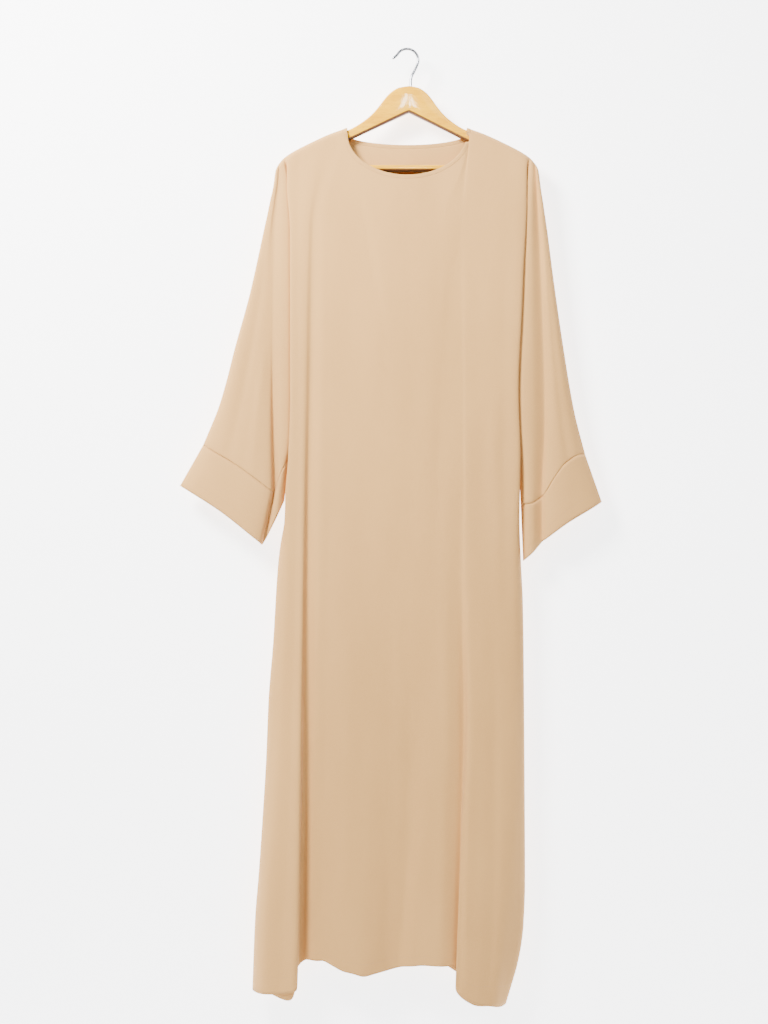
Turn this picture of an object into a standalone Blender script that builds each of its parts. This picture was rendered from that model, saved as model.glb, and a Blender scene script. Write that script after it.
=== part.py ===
"""An abaya with cut-on sleeves and deep cuffs, hanging from a wooden hanger.

Metres, +Z up, the wearer's front towards -Y. The origin is the inside top of the hanger's hook, where
the rail goes. Left and right are the viewer's. Tables are in millimetres: heights are measured up from
the origin, so they are negative, and "out" is how far a cloth lies in front of the hanger's middle plane
on the front panel, or behind it on the back panel. A table's rows name one line down the cloth, such as a
fold's crest, and each row across the cloth is a smooth curve through all such lines.
"""

import math

import bmesh
import bpy
import numpy as np

MM = 0.001
WALL = 1.4
MOST_MITRE = 1.35
SEAM_GAP = 0.3
HALF_GAP = SEAM_GAP / 2

# The shoulder and the panels' neck edge, which the binding makes 7 mm smaller all round
NECK_HALF_WIDTH = 106.7
NECK_HEIGHT = -133.5
NECK_DROP_FRONT = 88.6
NECK_DROP_BACK = 29.6
NECK_ROLL = 8.6
SHOULDER_ROLL = 10.5
SHOULDER_OUT = 10.5
UNDERARM_HEIGHT = -666.0
LEVEL_HEIGHT = -292.0
HEM_LEVEL = -1480.0

# Height and half width of the shoulder seam, from the neck point to the hanger's end
SHOULDER = [
    (99.5, -131.0),
    (128.0, -141.0),
    (160.0, -155.5),
    (192.0, -172.0),
    (206.5, -182.0),
    (214.0, -190.5),
    (219.0, -199.0),
    (221.0, -204.0),
]

# The hanger
WOOD_THICK = 12.0
WOOD_SWELL = 3.0
SWELL_HALF_WIDTH = 40.0
WOOD_ROUND = 5.5
TIP_HALF_HEIGHT = 3.0
TIP_THIN = 0.6
MORE_STATIONS = (88.0, 112.0, 144.0, 176.0, 184.0, 200.0)
HUMP_SHIFT = 3.2
HUMP_HALF_WIDTH = 97.0
BAR_RADIUS = 6.0
BAR_HEIGHT = -198.7
BAR_HALF_LENGTH = 196.0
WIRE_RADIUS = 2.2
HOOK_RADIUS = 19.0
STEM_X = 6.4
STEM_TOP = -51.0
STEM_END = -74.0
SOCKET_DEPTH = 30.0

# Half of the hanger's outline: distance from the middle, height. Past the neck the top follows the
# shoulder seam, 3.5 mm below it
WOOD_TOP = [
    (0.0, -60.5), (16.0, -63.2), (30.0, -71.5), (40.0, -82.5), (50.0, -96.0), (60.0, -107.5),
    (76.0, -121.0), (97.0, -133.5), (128.0, -144.5), (160.0, -159.0), (192.0, -175.5),
    (206.5, -185.5), (214.0, -195.0), (219.5, -204.0),
]
WOOD_UNDER = [
    (0.0, -105.5), (94.0, -150.7), (150.0, -177.0), (172.0, -191.5), (183.0, -206.0),
    (196.0, -212.0), (208.0, -214.0), (215.0, -212.0), (219.5, -207.5),
]

# The neck binding
BINDING_ROWS = (0.4, 3.8, 7.2)
BINDING_WALL = 1.8

# Seam lines: height, x. The front and the back meet in them, in the hanger's middle plane
SIDE_LEFT = [
    (-182.0, -206.5), (-230.0, -198.5), (-300.0, -193.5), (-590.0, -193.0), (-666.0, -192.5),
    (-706.0, -193.0), (-751.0, -198.0), (-790.0, -204.5), (-832.0, -212.5), (-873.0, -217.0),
    (-996.0, -224.6), (-1092.0, -232.3), (-1189.0, -236.2), (-1285.0, -242.0), (-1381.0, -248.6),
    (-1461.0, -255.0), (-1577.0, -259.4),
]
SIDE_RIGHT = [
    (-182.0, 206.5), (-230.0, 199.0), (-300.0, 196.5), (-365.0, 192.5), (-443.0, 189.5),
    (-574.0, 184.5), (-666.0, 184.5), (-722.0, 185.5), (-790.0, 188.0), (-857.0, 191.0),
    (-929.0, 194.5), (-1037.0, 196.0), (-1196.0, 197.2), (-1395.0, 198.2), (-1468.0, 195.7),
    (-1500.0, 192.2), (-1536.0, 185.3), (-1566.0, 176.7), (-1600.0, 166.3),
]
OVERARM_LEFT = [
    (-204.0, -221.0), (-227.0, -224.0), (-267.0, -232.0), (-312.0, -242.0), (-358.0, -252.0),
    (-413.0, -264.6), (-504.0, -289.8), (-554.0, -302.4), (-600.0, -316.0), (-635.0, -330.0),
    (-663.0, -342.0),
]
OVERARM_RIGHT = [
    (-204.0, 221.0), (-238.0, 225.5), (-306.0, 235.7), (-385.0, 246.0), (-496.0, 262.0),
    (-606.0, 280.6), (-679.0, 299.0),
]

# Lines down the front panel: height, x, out. The first row is the top, or the neck's angle gives it
FRONT_LINES = {
    "edge_left": [
        (-178.0, -200.5, 10.5), (-230.0, -200.5, 13.0), (-300.0, -195.5, 16.0), (-590.0, -195.0, 17.0),
        (-690.0, -198.5, 16.0), (-751.0, -203.0, 16.0), (-873.0, -203.3, 15.0), (-1100.0, -214.0, 17.0),
        (-1300.0, -226.0, 22.0), (-1450.0, -238.0, 26.0), (-1577.0, -243.0, 27.0),
    ],
    "flare_left": [
        (-163.5, -176.0, 10.5), (-300.0, -182.0, 17.5), (-600.0, -181.0, 18.5), (-873.0, -186.0, 19.0),
        (-1100.0, -192.0, 24.0), (-1300.0, -198.0, 31.0), (-1450.0, -205.0, 36.0), (-1574.0, -212.0, 38.0),
    ],
    "crest_left": [
        (-149.0, -146.0, 10.5), (-300.0, -165.0, 17.5), (-600.0, -170.5, 18.5), (-873.0, -174.5, 21.0),
        (-1100.0, -177.0, 27.5), (-1300.0, -178.5, 35.0), (-1450.0, -180.0, 41.0), (-1566.0, -183.5, 45.0),
    ],
    "valley_left": [
        (-138.5, -121.0, 10.5), (-300.0, -157.0, 15.5), (-600.0, -162.5, 14.5), (-873.0, -167.5, 14.0),
        (-1100.0, -171.5, 15.0), (-1300.0, -176.0, 15.5), (-1450.0, -181.0, 16.0), (-1541.0, -186.0, 17.0),
    ],
    "valley_right": [
        (0.0, 12.0, 10.5), (-300.0, 88.0, 16.5), (-700.0, 92.0, 16.5), (-946.0, 90.0, 17.0),
        (-1114.0, 95.5, 19.0), (-1302.0, 90.0, 22.0), (-1450.0, 87.0, 25.0), (-1534.0, 84.5, 27.0),
    ],
    "crest_right": [
        (-133.5, 106.7, 10.5), (-300.0, 98.0, 17.0), (-700.0, 99.0, 18.0), (-946.0, 98.0, 21.0),
        (-1114.0, 101.5, 27.0), (-1302.0, 92.0, 35.0), (-1450.0, 85.0, 40.0), (-1567.0, 80.5, 43.0),
    ],
    "flare_right": [
        (-142.0, 131.0, 10.5), (-300.0, 125.0, 17.5), (-700.0, 122.0, 18.0), (-946.0, 122.0, 22.0),
        (-1114.0, 124.0, 28.0), (-1302.0, 118.0, 36.0), (-1450.0, 112.0, 41.0), (-1590.0, 109.0, 44.0),
    ],
    "fall_right": [
        (-160.0, 170.0, 10.5), (-300.0, 160.0, 17.5), (-700.0, 158.0, 18.0), (-946.0, 158.0, 20.0),
        (-1114.0, 160.0, 24.0), (-1302.0, 158.0, 31.0), (-1450.0, 150.0, 36.0), (-1595.0, 138.0, 38.0),
    ],
    "edge_right": [
        (-178.0, 200.5, 10.5), (-259.0, 200.0, 13.0), (-365.0, 194.5, 16.0), (-443.0, 191.0, 17.0),
        (-574.0, 185.5, 17.0), (-680.0, 188.5, 16.5), (-848.0, 184.0, 15.5), (-1000.0, 184.0, 15.0),
        (-1200.0, 184.0, 18.0), (-1400.0, 180.0, 22.0), (-1500.0, 170.0, 22.0), (-1601.0, 157.0, 18.0),
    ],
}

# Lines between the two valleys of the front: neck angle, share of the way across, the out at the chest,
# at the knee and at the hem, and the hem's height
FRONT_PANEL = [
    (180.0, 0.07, 17.0, 18.0, 19.0, -1523.0),
    (160.0, 0.17, 17.0, 20.0, 23.0, -1524.0),
    (137.0, 0.29, 16.5, 21.0, 26.0, -1540.0),
    (112.0, 0.42, 16.0, 19.0, 24.0, -1549.0),
    (90.0, 0.55, 16.0, 16.5, 18.0, -1543.0),
    (68.0, 0.67, 16.0, 17.0, 19.0, -1535.0),
    (45.0, 0.78, 16.5, 19.5, 25.0, -1531.0),
    (26.0, 0.89, 17.0, 22.0, 30.0, -1531.0),
]

# The same for the back, which hangs nearer to the wall with soft folds
BACK_LINES = {
    "edge_left": [
        (-178.0, -200.5, 10.5), (-230.0, -199.0, 11.5), (-300.0, -193.5, 13.0), (-590.0, -193.0, 13.5),
        (-690.0, -197.0, 12.5), (-790.0, -203.0, 12.0), (-1100.0, -216.0, 13.0), (-1300.0, -228.0, 14.0),
        (-1586.0, -242.0, 17.0),
    ],
    "fall_left": [
        (-149.0, -146.0, 10.5), (-300.0, -160.0, 14.0), (-600.0, -166.0, 15.0), (-873.0, -172.0, 16.0),
        (-1300.0, -186.0, 21.0), (-1605.0, -197.0, 26.0),
    ],
    "fall_right": [
        (-149.0, 146.0, 10.5), (-300.0, 150.0, 14.0), (-600.0, 148.0, 15.0), (-873.0, 152.0, 16.0),
        (-1300.0, 158.0, 21.0), (-1590.0, 140.0, 25.0),
    ],
    "edge_right": [
        (-178.0, 200.5, 10.5), (-230.0, 199.0, 11.5), (-300.0, 193.5, 13.0), (-574.0, 185.0, 13.5),
        (-680.0, 187.0, 12.5), (-848.0, 184.0, 12.0), (-1400.0, 184.0, 14.0), (-1500.0, 174.0, 15.0),
        (-1598.0, 156.0, 14.0),
    ],
}
BACK_PANEL = [
    (180.0, 0.05, 13.5, 11.5, 12.0, -1534.0),
    (158.0, 0.22, 13.5, 14.0, 19.0, -1535.0),
    (130.0, 0.35, 13.0, 17.0, 25.0, -1545.0),
    (90.0, 0.50, 13.0, 13.0, 15.0, -1542.0),
    (50.0, 0.64, 13.0, 16.0, 23.0, -1538.0),
    (22.0, 0.77, 13.5, 14.5, 17.0, -1540.0),
    (0.0, 0.88, 13.5, 12.0, 13.0, -1562.0),
]

# Lines down each sleeve, from the overarm to the tuck beside the body: top height, bottom height,
# cuff's lower edge as height and x, and rows of height, x, out. A share in place of x is measured
# from the overarm to the trough
SLEEVES = {
    "left": {
        "outer": ((-198.5, -671.0), (-741.0, -366.0), 0.10, ((-198.0, 10.5), (-300.0, 8.5), (-671.0, 10.0))),
        "middle": ((-193.5, -699.0), (-776.0, -311.0), 0.50, (
            (-193.0, 10.5), (-300.0, 10.5), (-699.0, 15.0))),
        "trough": ((-189.5, -743.0), (-830.0, -243.0), None, (
            (-189.0, -213.5, 10.5), (-227.0, -215.0, 9.8), (-312.0, -222.0, 10.0), (-454.0, -225.0, 10.5),
            (-613.0, -225.5, 8.0), (-743.0, -224.0, 7.0))),
        "ridge": ((-185.5, -714.0), (-798.0, -226.0), None, (
            (-185.0, -210.0, 10.5), (-227.0, -206.5, 11.0), (-312.0, -208.0, 13.0), (-714.0, -213.0, 14.0))),
        "tuck": ((-182.0, -684.0), (-761.0, -210.0), None, ((-666.0, -192.5, 0.15), (-684.0, -198.5, 0.15))),
        "overarm": ((-204.0, -663.0), (-732.0, -381.0), None, ()),
    },
    "right": {
        "outer": ((-198.5, -681.0), (-768.0, 313.0), 0.20, ((-198.0, 10.5), (-300.0, 9.0), (-681.0, 10.0))),
        "middle": ((-193.5, -699.0), (-795.0, 268.0), 0.55, ((-193.0, 10.5), (-300.0, 10.5), (-699.0, 15.0))),
        "trough": ((-189.5, -750.0), (-825.0, 228.0), None, (
            (-189.0, 213.5, 10.5), (-227.0, 217.0, 8.8), (-311.0, 221.0, 8.0), (-443.0, 226.0, 8.0),
            (-627.0, 231.0, 8.0), (-750.0, 227.0, 7.0))),
        "ridge": ((-185.5, -761.0), (-845.0, 210.0), None, (
            (-185.0, 210.0, 10.5), (-227.0, 208.5, 12.0), (-311.0, 207.0, 14.0), (-627.0, 208.5, 15.0),
            (-761.0, 209.0, 13.0))),
        "tuck": ((-182.0, -764.0), (-858.0, 198.5), None, (
            (-666.0, 184.5, 0.15), (-700.0, 191.0, 0.15), (-764.0, 197.5, 0.15))),
        "overarm": ((-204.0, -679.0), (-759.0, 327.0), None, ()),
    },
}
SLEEVE_ORDER = ("overarm", "outer", "middle", "trough", "ridge", "tuck")
TUCK_OUT = [(-182.0, 10.5), (-230.0, 10.0), (-300.0, 7.0), (-500.0, 5.5), (-620.0, 4.0), (-666.0, 0.15)]
BACK_SLEEVE_DEPTH = 0.85
SPREAD_SHARE = 0.10
SLEEVE_TOP_DROP = 40.0

# How far below the shoulder seam the rows of the panels lie, down to the underarm, and then the heights
ROWS_BELOW_SHOULDER = (0.0, 1.0, 3.0, 6.0, 13.0, 24.0, 44.0, 74.0, 110.0)
NECK_ROW = 3
ROW_HEIGHTS_ABOVE_UNDERARM = (-340.0, -395.0, -455.0, -515.0, -570.0, -615.0, -645.0, -666.0)
ROW_HEIGHTS_BELOW_UNDERARM = (
    -690.0, -725.0, -770.0, -815.0, -865.0, -925.0, -995.0, -1065.0, -1135.0, -1205.0,
    -1275.0, -1340.0, -1400.0, -1445.0, -1480.0,
)
HEM_ROWS = (0.34, 0.67, 1.0)
UNDERARM_SEAM_ROWS = {"left": 1, "right": 3}
CUFF_ROWS = 4
CUFF_GAP = 0.7
CUFF_MOUTH_OUT = {"outer": 10.0, "middle": 16.0, "trough": 8.0, "ridge": 13.0}

SHARP_ANGLE = 50.0
CLOTH = (0.66, 0.51, 0.37)
WOOD = (0.72, 0.42, 0.13)
STEEL = (0.62, 0.62, 0.64)


def smooth_value(rows, height, column=1):
    """The value in a column of a table at this height, on a smooth curve that doesn't overshoot."""
    heights = np.array([-row[0] for row in rows])
    values = np.array([row[column] for row in rows])
    at = min(max(-height, heights[0]), heights[-1])
    slopes = np.diff(values) / np.diff(heights)
    tangents = np.concatenate([slopes[:1], np.zeros(len(slopes) - 1), slopes[-1:]])
    for i in range(1, len(slopes)):
        if slopes[i - 1] * slopes[i] > 0.0:
            tangents[i] = 2.0 * slopes[i - 1] * slopes[i] / (slopes[i - 1] + slopes[i])
    i = int(min(np.searchsorted(heights, at, side="right") - 1, len(slopes) - 1))
    span = heights[i + 1] - heights[i]
    t = (at - heights[i]) / span
    start = values[i] * (1 + 2 * t) * (1 - t) ** 2 + span * tangents[i] * t * (1 - t) ** 2
    end = values[i + 1] * t * t * (3 - 2 * t) - span * tangents[i + 1] * t * t * (1 - t)
    return float(start + end)


def shoulder_height(x):
    """The height of the shoulder seam at this x."""
    return smooth_value([(-half, height) for half, height in SHOULDER], -abs(x))


def rolled(out, drop):
    """How far out the cloth is at this drop below its seam, as it rolls over the hanger's arm."""
    if drop >= SHOULDER_ROLL:
        return out
    arc = math.sqrt(max(0.0, 1.0 - (1.0 - drop / SHOULDER_ROLL) ** 2))
    return max(HALF_GAP, out * arc)


def neck_point(angle, drop):
    """A point of the neck edge: x, height. Past the roll over the hanger, the edge is half an ellipse."""
    if angle in (0.0, 180.0):
        return math.copysign(NECK_HALF_WIDTH, 90.0 - angle), NECK_HEIGHT
    turn = math.radians(angle)
    height = NECK_HEIGHT - NECK_ROLL - (drop - NECK_ROLL) * math.sin(turn)
    return NECK_HALF_WIDTH * math.cos(turn), height


def curve_through(points, samples):
    """Points on a centripetal Catmull-Rom curve, with so many steps in each span between the inner points."""
    points = [np.array(p, float) for p in points]
    made = []
    for i in range(1, len(points) - 2):
        p0, p1, p2, p3 = points[i - 1 : i + 3]
        knots = [0.0]
        for a, b in ((p0, p1), (p1, p2), (p2, p3)):
            knots.append(knots[-1] + max(np.linalg.norm(b - a), 1e-4) ** 0.5)
        t0, t1, t2, t3 = knots
        for step in range(samples[i - 1]):
            t = t1 + (t2 - t1) * step / samples[i - 1]
            a1 = p0 * (t1 - t) / (t1 - t0) + p1 * (t - t0) / (t1 - t0)
            a2 = p1 * (t2 - t) / (t2 - t1) + p2 * (t - t1) / (t2 - t1)
            a3 = p2 * (t3 - t) / (t3 - t2) + p3 * (t - t2) / (t3 - t2)
            b1 = a1 * (t2 - t) / (t2 - t0) + a2 * (t - t0) / (t2 - t0)
            b2 = a2 * (t3 - t) / (t3 - t1) + a3 * (t - t1) / (t3 - t1)
            made.append(b1 * (t2 - t) / (t2 - t1) + b2 * (t - t1) / (t2 - t1))
    made.append(points[-2])
    return made


def between(entries):
    """The entries with one more half way between each two."""
    made = [entries[0]]
    for a, b in zip(entries, entries[1:]):
        made += [tuple((u + v) / 2 for u, v in zip(a, b)), b]
    return made


def row_heights():
    """Heights of the rows along the tuck, from the shoulder to the level of the hem's start."""
    top = SIDE_LEFT[0][0]
    rows = [top - drop for drop in ROWS_BELOW_SHOULDER]
    return rows + list(ROW_HEIGHTS_ABOVE_UNDERARM) + list(ROW_HEIGHTS_BELOW_UNDERARM)


UNDERARM_ROW = len(ROWS_BELOW_SHOULDER) + len(ROW_HEIGHTS_ABOVE_UNDERARM) - 1


class Panel:
    """The front or the back: lines down the cloth, and the rows of points across it."""

    def __init__(self, side, lines, panel, neck_drop, sleeve_depth):
        self.side = side
        self.lines = lines
        self.panel = between(panel)
        self.neck_drop = neck_drop
        self.sleeve_depth = sleeve_depth
        self.rows = row_heights()

    def place(self, x, out, height):
        return (x, self.side * max(out, HALF_GAP), height)

    def row_height(self, row, top, hem, start=0):
        """The height of a row on a line from its own top, in its start row, to its own hem."""
        if row < len(self.rows):
            height = self.rows[row]
            if height > LEVEL_HEIGHT:
                share = (self.rows[start] - height) / (self.rows[start] - LEVEL_HEIGHT)
                return top + (LEVEL_HEIGHT - top) * share
            return height
        share = HEM_ROWS[row - len(self.rows)]
        return HEM_LEVEL + (hem - HEM_LEVEL) * share

    def body_point(self, line, row):
        """The point of a named body line in a row."""
        rows = list(self.lines[line])
        reference = rows[0][0]
        start = 0
        if reference == 0.0:
            if row < NECK_ROW:
                return None
            x, top = neck_point(rows[0][1], self.neck_drop)
            rows[0] = (top, x, rows[0][2])
            reference = NECK_HEIGHT
            start = NECK_ROW
        height = self.row_height(row, rows[0][0], rows[-1][0], start)
        x = smooth_value(rows, height, 1)
        out = rolled(smooth_value(rows, height, 2), reference - height)
        return self.place(x, out, height)

    def side_point(self, table, row):
        height = self.row_height(row, table[0][0], table[-1][0])
        out = smooth_value(TUCK_OUT, height) if height > UNDERARM_HEIGHT else HALF_GAP
        return self.place(smooth_value(table, height), rolled(out, table[0][0] - height), height)

    def panel_point(self, entry, row, first, last):
        """A point between the valleys, at a share of the way from one to the other."""
        angle, share, chest, knee, hem, hem_height = entry
        at_shoulder = angle in (0.0, 180.0)
        start = 0 if at_shoulder else NECK_ROW
        if row < start:
            return None
        x, top = neck_point(angle, self.neck_drop)
        height = self.row_height(row, top, hem_height, start)
        level = self.rows.index(next(h for h in self.rows if h <= LEVEL_HEIGHT))
        spread_x = first[0] + (last[0] - first[0]) * share
        if row < level:
            lower = self.level_x(share)
            t = (top - height) / (top - LEVEL_HEIGHT)
            spread_x = x + (lower - x) * t * t * (3 - 2 * t)
        outs = [(NECK_HEIGHT, SHOULDER_OUT), (-300.0, chest), (-700.0, chest)]
        outs += [(-1100.0, knee), (hem_height, hem)]
        out = rolled(smooth_value(outs, height), NECK_HEIGHT - height)
        return self.place(spread_x, out, height)

    def level_x(self, share):
        names = self.valley_names()
        first = smooth_value(self.lines[names[0]], LEVEL_HEIGHT)
        table = self.lines[names[1]]
        last = smooth_value(table[1:] if table[0][0] == 0.0 else table, LEVEL_HEIGHT)
        return first + (last - first) * share

    def valley_names(self):
        return ("valley_left", "valley_right") if "valley_left" in self.lines else ("fall_left", "fall_right")

    def body_row(self, row):
        """The named points of one row of the body, from the left seam to the right one."""
        first, last = self.valley_names()
        names = list(self.lines)
        left = names[: names.index(first) + 1]
        right = names[names.index(last) :]
        points = [self.side_point(SIDE_LEFT, row)]
        points += [self.body_point(name, row) for name in left]
        inner_first = points[-1]
        inner_last = self.body_point(last, row) or (0.0, 0.0, 0.0)
        points += [self.panel_point(entry, row, inner_first, inner_last) for entry in self.panel]
        points += [self.body_point(name, row) for name in right]
        points.append(self.side_point(SIDE_RIGHT, row))
        return points

    def sleeve_row(self, hand, share, tuck=None):
        """The named points of one row of a sleeve, from the overarm to the tuck, at a share of its length."""
        overarm = OVERARM_LEFT if hand == "left" else OVERARM_RIGHT
        points = []
        for name in SLEEVE_ORDER:
            (top, bottom), _, across, table = SLEEVES[hand][name]
            height = top + (bottom - top) * share
            if name == "overarm":
                points.append(self.place(smooth_value(overarm, height), HALF_GAP, height))
            elif name == "tuck":
                points.append(tuck or self.place(smooth_value(table, height), HALF_GAP, height))
            elif across is None:
                out = self.roll_sleeve(self.sleeve_depth * smooth_value(table, height, 2), top - height)
                points.append(self.place(smooth_value(table, height), out, height))
            else:
                outer = smooth_value(overarm, height)
                trough = smooth_value(SLEEVES[hand]["trough"][3], height)
                start = abs(shoulder_x(top)) * (1 if trough > 0 else -1)
                spread = outer + (trough - outer) * across
                blend = min(1.0, share / SPREAD_SHARE)
                x = start + (spread - start) * blend
                out = self.sleeve_depth * smooth_value(table, height)
                points.append(self.place(x, self.roll_sleeve(out, top - height), height))
        return points

    def roll_sleeve(self, out, drop):
        """The out of a sleeve line, which near its top is at least the hanger's."""
        return rolled(max(out, SHOULDER_OUT) if drop < SLEEVE_TOP_DROP else out, drop)

    def sleeve_share(self, hand, row):
        """How far down the sleeve a row is, above the underarm."""
        top, bottom = SLEEVES[hand]["tuck"][0]
        return (top - self.rows[row]) / (top - bottom)


def shoulder_x(height):
    """The half width at which the shoulder seam has this height."""
    rows = [(height_row, half) for half, height_row in SHOULDER]
    return smooth_value(rows, height)


def seamed(points, before=None, after=None):
    """Points with one more at each end, mirrored in the seam's plane, so a row meets its seam squarely."""
    first = before or (points[1][0], -points[1][1], points[1][2])
    last = after or (points[-2][0], -points[-2][1], points[-2][2])
    return [first] + list(points) + [last]


class Sheet:
    """A mesh of the cloth's middle surface, with the seam points marked."""

    def __init__(self):
        self.points = []
        self.faces = []
        self.seam = set()
        self.fixed_normals = {}

    def add_row(self, points):
        """Adds a row of points, of which some may be missing, and gives their numbers."""
        numbers = []
        for point in points:
            numbers.append(None if point is None else len(self.points))
            if point is not None:
                self.points.append(np.array(point, float))
        return numbers

    def stitch(self, upper, lower, flip):
        """Adds faces between two rows, wherever all four corners are there."""
        for a, b, c, d in zip(upper, upper[1:], lower[1:], lower):
            if None not in (a, b, c, d):
                self.faces.append((a, b, c, d) if flip else (d, c, b, a))

    def normals(self):
        """Outward normals, longer where the cloth folds, so that the wall keeps its thickness."""
        points = np.array(self.points)
        total = np.zeros_like(points)
        count = np.zeros(len(points))
        for face in self.faces:
            corner = points[list(face)]
            normal = np.cross(corner[2] - corner[0], corner[3] - corner[1])
            normal /= np.linalg.norm(normal)
            for index in face:
                total[index] += normal
                count[index] += 1
        for index in self.seam:
            total[index][1] = 0.0
        length = np.linalg.norm(total, axis=1)
        stretch = np.minimum(np.maximum(count / length, 1.0), MOST_MITRE)
        for index in self.seam:
            stretch[index] = 1.0
        for index, normal in self.fixed_normals.items():
            total[index] = normal
            length[index] = 1.0
            stretch[index] = 1.0
        return total * (stretch / length)[:, None]

    def solid(self, name, wall, material):
        """A closed wall about the middle surface."""
        points = np.array(self.points)
        lift = self.normals() * wall / 2
        count = len(points)
        outer = points + lift
        inner = points - lift
        faces = list(self.faces) + [tuple(count + i for i in reversed(face)) for face in self.faces]
        edges = {}
        for face in self.faces:
            for a, b in zip(face, face[1:] + face[:1]):
                edges[(a, b)] = True
        for a, b in edges:
            if (b, a) not in edges:
                faces.append((b, a, count + a, count + b))
        add_object(name, np.concatenate([outer, inner]), faces, material)


def new_material(name, colour, roughness, metallic=0.0):
    material = bpy.data.materials.new(name)
    material.use_nodes = True
    shader = material.node_tree.nodes["Principled BSDF"]
    shader.inputs["Base Color"].default_value = (*colour, 1.0)
    shader.inputs["Roughness"].default_value = roughness
    shader.inputs["Metallic"].default_value = metallic
    material.diffuse_color = (*colour, 1.0)
    return material


def add_object(name, points_mm, faces, material):
    mesh = bpy.data.meshes.new(name)
    mesh.from_pydata([tuple(float(v) * MM for v in p) for p in points_mm], [], faces)
    shape = bmesh.new()
    shape.from_mesh(mesh)
    bmesh.ops.recalc_face_normals(shape, faces=shape.faces)
    shape.to_mesh(mesh)
    shape.free()
    mesh.shade_smooth()
    mesh.set_sharp_from_angle(angle=math.radians(SHARP_ANGLE))
    mesh.materials.append(material)
    made = bpy.data.objects.new(name, mesh)
    bpy.context.scene.collection.objects.link(made)
    return made


def body_samples(panel):
    """Steps in each span of a body row: more beside the tucks, where the cloth turns over."""
    spans = len(panel.body_row(0)) - 1
    return [2] + [1] * (spans - 2) + [2]


SLEEVE_SAMPLES = [2, 2, 2, 2, 2]


def build_panel(panel):
    """The sheet of a panel, with the rows of its neck edge and cuff seams."""
    sheet = Sheet()
    flip = panel.side > 0
    body_steps = body_samples(panel)
    sleeve_steps = SLEEVE_SAMPLES
    steps = sleeve_steps + body_steps + sleeve_steps[::-1]
    left_tuck = sum(sleeve_steps)
    right_tuck = left_tuck + sum(body_steps)
    above = None
    rows = []
    for row in range(UNDERARM_ROW + 1):
        body = panel.body_row(row)
        left = panel.sleeve_row("left", panel.sleeve_share("left", row), body[0])
        right = panel.sleeve_row("right", panel.sleeve_share("right", row), body[-1])
        named = left + body[1:-1] + right[::-1]
        if row == UNDERARM_ROW:
            made = lower_rows(left, body, right, sleeve_steps, body_steps)
        elif row < NECK_ROW:
            made = shoulder_row(named, steps)
        else:
            made = curve_through(seamed(named), steps)
        ids = sheet.add_row(made)
        sheet.seam.update((ids[0], ids[-1]))
        if row == 0:
            for index in ids:
                if index is not None:
                    settle_on_shoulder(sheet, index, panel.side)
        rows.append(ids)
        if above:
            sheet.stitch(above, ids, flip)
        above = ids
    for index in (above[left_tuck], above[right_tuck]):
        sheet.fixed_normals[index] = (0.0, 0.0, -1.0)
    body_ids = above[left_tuck : right_tuck + 1]
    last_row = len(panel.rows) + len(HEM_ROWS)
    for row in range(UNDERARM_ROW + 1, last_row):
        ids = sheet.add_row(curve_through(seamed(panel.body_row(row)), body_steps))
        sheet.seam.update((ids[0], ids[-1]))
        sheet.stitch(body_ids, ids, flip)
        body_ids = ids
    for hand, ids in (("left", above[: left_tuck + 1]), ("right", above[right_tuck:])):
        build_sleeve_end(sheet, panel, hand, ids, sleeve_steps, flip)
    return sheet, neck_edge(sheet, rows)


def shoulder_row(named, steps):
    """A row above the neck edge's first row: the two shoulders, with nothing between the neck points."""
    missing = [i for i, point in enumerate(named) if point is None]
    first, last = missing[0], missing[-1] + 1
    left, right = named[:first], named[last:]
    left_end = np.array(left[-1]) * 2 - np.array(left[-2])
    right_end = np.array(right[0]) * 2 - np.array(right[1])
    made_left = curve_through(seamed(left, after=tuple(left_end)), steps[: first - 1])
    made_right = curve_through(seamed(right, before=tuple(right_end)), steps[last:])
    return made_left + [None] * (sum(steps[first - 1 : last]) - 1) + made_right


def neck_edge(sheet, rows):
    """The panel's neck edge, from the left neck point to the right one: down, across and up again."""
    top = rows[0]
    left = max(i for i, index in enumerate(top) if index is not None and sheet.points[index][0] < 0.0)
    right = min(i for i, index in enumerate(top) if index is not None and sheet.points[index][0] > 0.0)
    down = [rows[row][left] for row in range(NECK_ROW)]
    up = [rows[row][right] for row in range(NECK_ROW - 1, -1, -1)]
    return down + rows[NECK_ROW][left : right + 1] + up


def lower_rows(left, body, right, sleeve_steps, body_steps):
    """The underarm's row, where the sleeves part from the body: three curves that share their end points."""
    first = curve_through(seamed(left), sleeve_steps)
    middle = curve_through(seamed(body), body_steps)
    last = curve_through(seamed(right[::-1]), sleeve_steps[::-1])
    return first[:-1] + middle + last[1:]


def build_sleeve_end(sheet, panel, hand, ids, sleeve_steps, flip):
    """The rows of a sleeve from the underarm to the cuff seam."""
    start = panel.sleeve_share(hand, UNDERARM_ROW)
    count = UNDERARM_SEAM_ROWS[hand]
    for step in range(1, count + 1):
        named = panel.sleeve_row(hand, start + (1.0 - start) * step / count)
        steps = sleeve_steps
        if hand == "right":
            named = named[::-1]
            steps = sleeve_steps[::-1]
        made = sheet.add_row(curve_through(seamed(named), steps))
        sheet.seam.update((made[0], made[-1]))
        sheet.stitch(ids, made, flip)
        ids = made


def settle_on_shoulder(sheet, index, side):
    """Puts a point of the top row on the shoulder seam."""
    x = sheet.points[index][0]
    sheet.points[index] = np.array((x, side * HALF_GAP, shoulder_height(x)))
    sheet.seam.add(index)


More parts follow.
